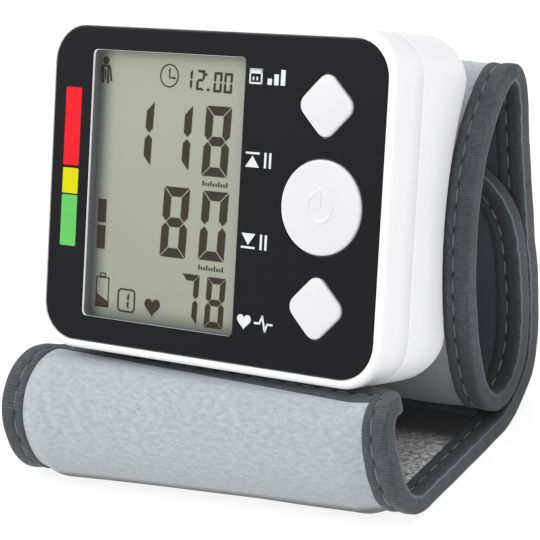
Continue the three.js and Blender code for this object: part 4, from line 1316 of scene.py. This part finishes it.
class MonitorDisplay(bpy.types.PropertyGroup):
    ground: colour_setting("Ground", "Colour of the blank display", (164, 167, 152))
    marks: colour_setting("Marks", "Colour of what the display shows", (60, 53, 46))


class MonitorButtons(bpy.types.PropertyGroup):
    colour: colour_setting("Colour", "Colour of the buttons", (228, 228, 231))
    proud: length_setting("Height", "How far a button stands out of the panel", 0.0006)
    dome: length_setting("Dome", "How much lower a button's rim is than its middle", 0.00025)
    edge_round: length_setting("Edge", "Radius of a button's edge", 0.0004)


class MonitorInside(bpy.types.PropertyGroup):
    cover_colour: colour_setting("Cover", "Colour of the battery cover", (238, 238, 241))


class MonitorCuff(bpy.types.PropertyGroup):
    velour_colour: colour_setting("Velour", "Colour of the outer cloth", (183, 190, 195))
    lining_colour: colour_setting("Lining", "Colour of the inner cloth", (68, 75, 83))
    hook_colour: colour_setting("Hooks", "Colour of the loose end's gripping side", (196, 190, 192))
    tape_colour: colour_setting("Tape", "Colour of the edge tape", (70, 75, 80))
    thread_colour: colour_setting("Thread", "Colour of the sewing thread", (104, 109, 113))
    crown: length_setting("Swell", "How far the cloth swells between its tapes", 0.00042)
    unevenness: length_setting("Unevenness", "Height of the cloth's soft waves", 0.00012)


class MonitorStudio(bpy.types.PropertyGroup):
    surroundings: share_setting("Surroundings", "Brightness of the white surroundings", 0.54, 4)
    floor_glow: share_setting("Floor glow", "Light that the floor gives off", 0.86)
    key_power: power_setting("Key light", "Power of the left light", 4.8)
    fill_power: power_setting("Fill light", "Power of the right light", 1.9)
    top_power: power_setting("Top light", "Power of the upper light", 3.2)
    lens_length: FloatProperty(name="Lens", description="Focal length of the camera",
                               default=143.605, unit="CAMERA")


class MONITOR_OT_casing(bpy.types.Operator):
    """Builds the front and rear casings"""
    bl_idname = "monitor.casing"
    bl_label = "Casing"

    def execute(self, context):
        make_casing(context.scene.monitor_casing)
        return {"FINISHED"}


class MONITOR_OT_panel(bpy.types.Operator):
    """Builds the face panel with its printed marks"""
    bl_idname = "monitor.panel"
    bl_label = "Face panel"

    def execute(self, context):
        make_panel(context.scene.monitor_panel)
        return {"FINISHED"}


class MONITOR_OT_display(bpy.types.Operator):
    """Builds the display and what it shows"""
    bl_idname = "monitor.display"
    bl_label = "Display"

    def execute(self, context):
        make_display(context.scene.monitor_display)
        return {"FINISHED"}


class MONITOR_OT_buttons(bpy.types.Operator):
    """Builds the three push buttons"""
    bl_idname = "monitor.buttons"
    bl_label = "Buttons"

    def execute(self, context):
        make_buttons(context.scene.monitor_buttons)
        return {"FINISHED"}


class MONITOR_OT_inside(bpy.types.Operator):
    """Gives the parts inside and the battery cover their finishes"""
    bl_idname = "monitor.inside"
    bl_label = "Inner parts"

    def execute(self, context):
        make_inner_parts(context.scene.monitor_inside)
        return {"FINISHED"}


class MONITOR_OT_cuff(bpy.types.Operator):
    """Builds the wound band"""
    bl_idname = "monitor.cuff"
    bl_label = "Wound cuff"

    def execute(self, context):
        make_wound_band(context.scene.monitor_cuff)
        return {"FINISHED"}


class MONITOR_OT_tail(bpy.types.Operator):
    """Builds the band's loose end"""
    bl_idname = "monitor.tail"
    bl_label = "Loose end"

    def execute(self, context):
        make_loose_end(context.scene.monitor_cuff)
        return {"FINISHED"}


class MONITOR_OT_crease(bpy.types.Operator):
    """Builds the cloth that bends between the wound band and its loose end"""
    bl_idname = "monitor.crease"
    bl_label = "Crease"

    def execute(self, context):
        make_crease(context.scene.monitor_cuff)
        return {"FINISHED"}


class MONITOR_OT_studio(bpy.types.Operator):
    """Sets the floor, the lights, the surroundings and the camera"""
    bl_idname = "monitor.studio"
    bl_label = "Studio"

    def execute(self, context):
        make_studio(context.scene.monitor_studio)
        return {"FINISHED"}


OPERATORS = (
    MONITOR_OT_casing, MONITOR_OT_panel, MONITOR_OT_display, MONITOR_OT_buttons,
    MONITOR_OT_inside, MONITOR_OT_cuff, MONITOR_OT_tail, MONITOR_OT_crease, MONITOR_OT_studio,
)
SETTINGS = {
    "monitor_casing": MonitorCasing, "monitor_panel": MonitorPanel, "monitor_display": MonitorDisplay,
    "monitor_buttons": MonitorButtons, "monitor_inside": MonitorInside, "monitor_cuff": MonitorCuff,
    "monitor_studio": MonitorStudio,
}


class MONITOR_PT_steps(bpy.types.Panel):
    """Lists the settings and the steps of the build"""
    bl_idname = "MONITOR_PT_steps"
    bl_label = "Wrist monitor"
    bl_space_type = "VIEW_3D"
    bl_region_type = "UI"
    bl_category = "Monitor"

    def draw(self, context):
        for name, group in SETTINGS.items():
            box = self.layout.box()
            for key in group.__annotations__:
                box.prop(getattr(context.scene, name), key)
        for operator in OPERATORS:
            self.layout.operator(operator.bl_idname)


def register():
    for name, group in SETTINGS.items():
        bpy.utils.register_class(group)
        setattr(bpy.types.Scene, name, PointerProperty(type=group))
    for item in (*OPERATORS, MONITOR_PT_steps):
        bpy.utils.register_class(item)


def unregister():
    for item in (MONITOR_PT_steps, *reversed(OPERATORS)):
        bpy.utils.unregister_class(item)
    for name, group in reversed(SETTINGS.items()):
        delattr(bpy.types.Scene, name)
        bpy.utils.unregister_class(group)


def main():
    """Builds everything in order."""
    register()
    bpy.ops.monitor.casing()
    bpy.ops.monitor.panel()
    bpy.ops.monitor.display()
    bpy.ops.monitor.buttons()
    bpy.ops.monitor.inside()
    bpy.ops.monitor.cuff()
    bpy.ops.monitor.tail()
    bpy.ops.monitor.crease()
    bpy.ops.monitor.studio()


if __name__ == "__main__":
    main()
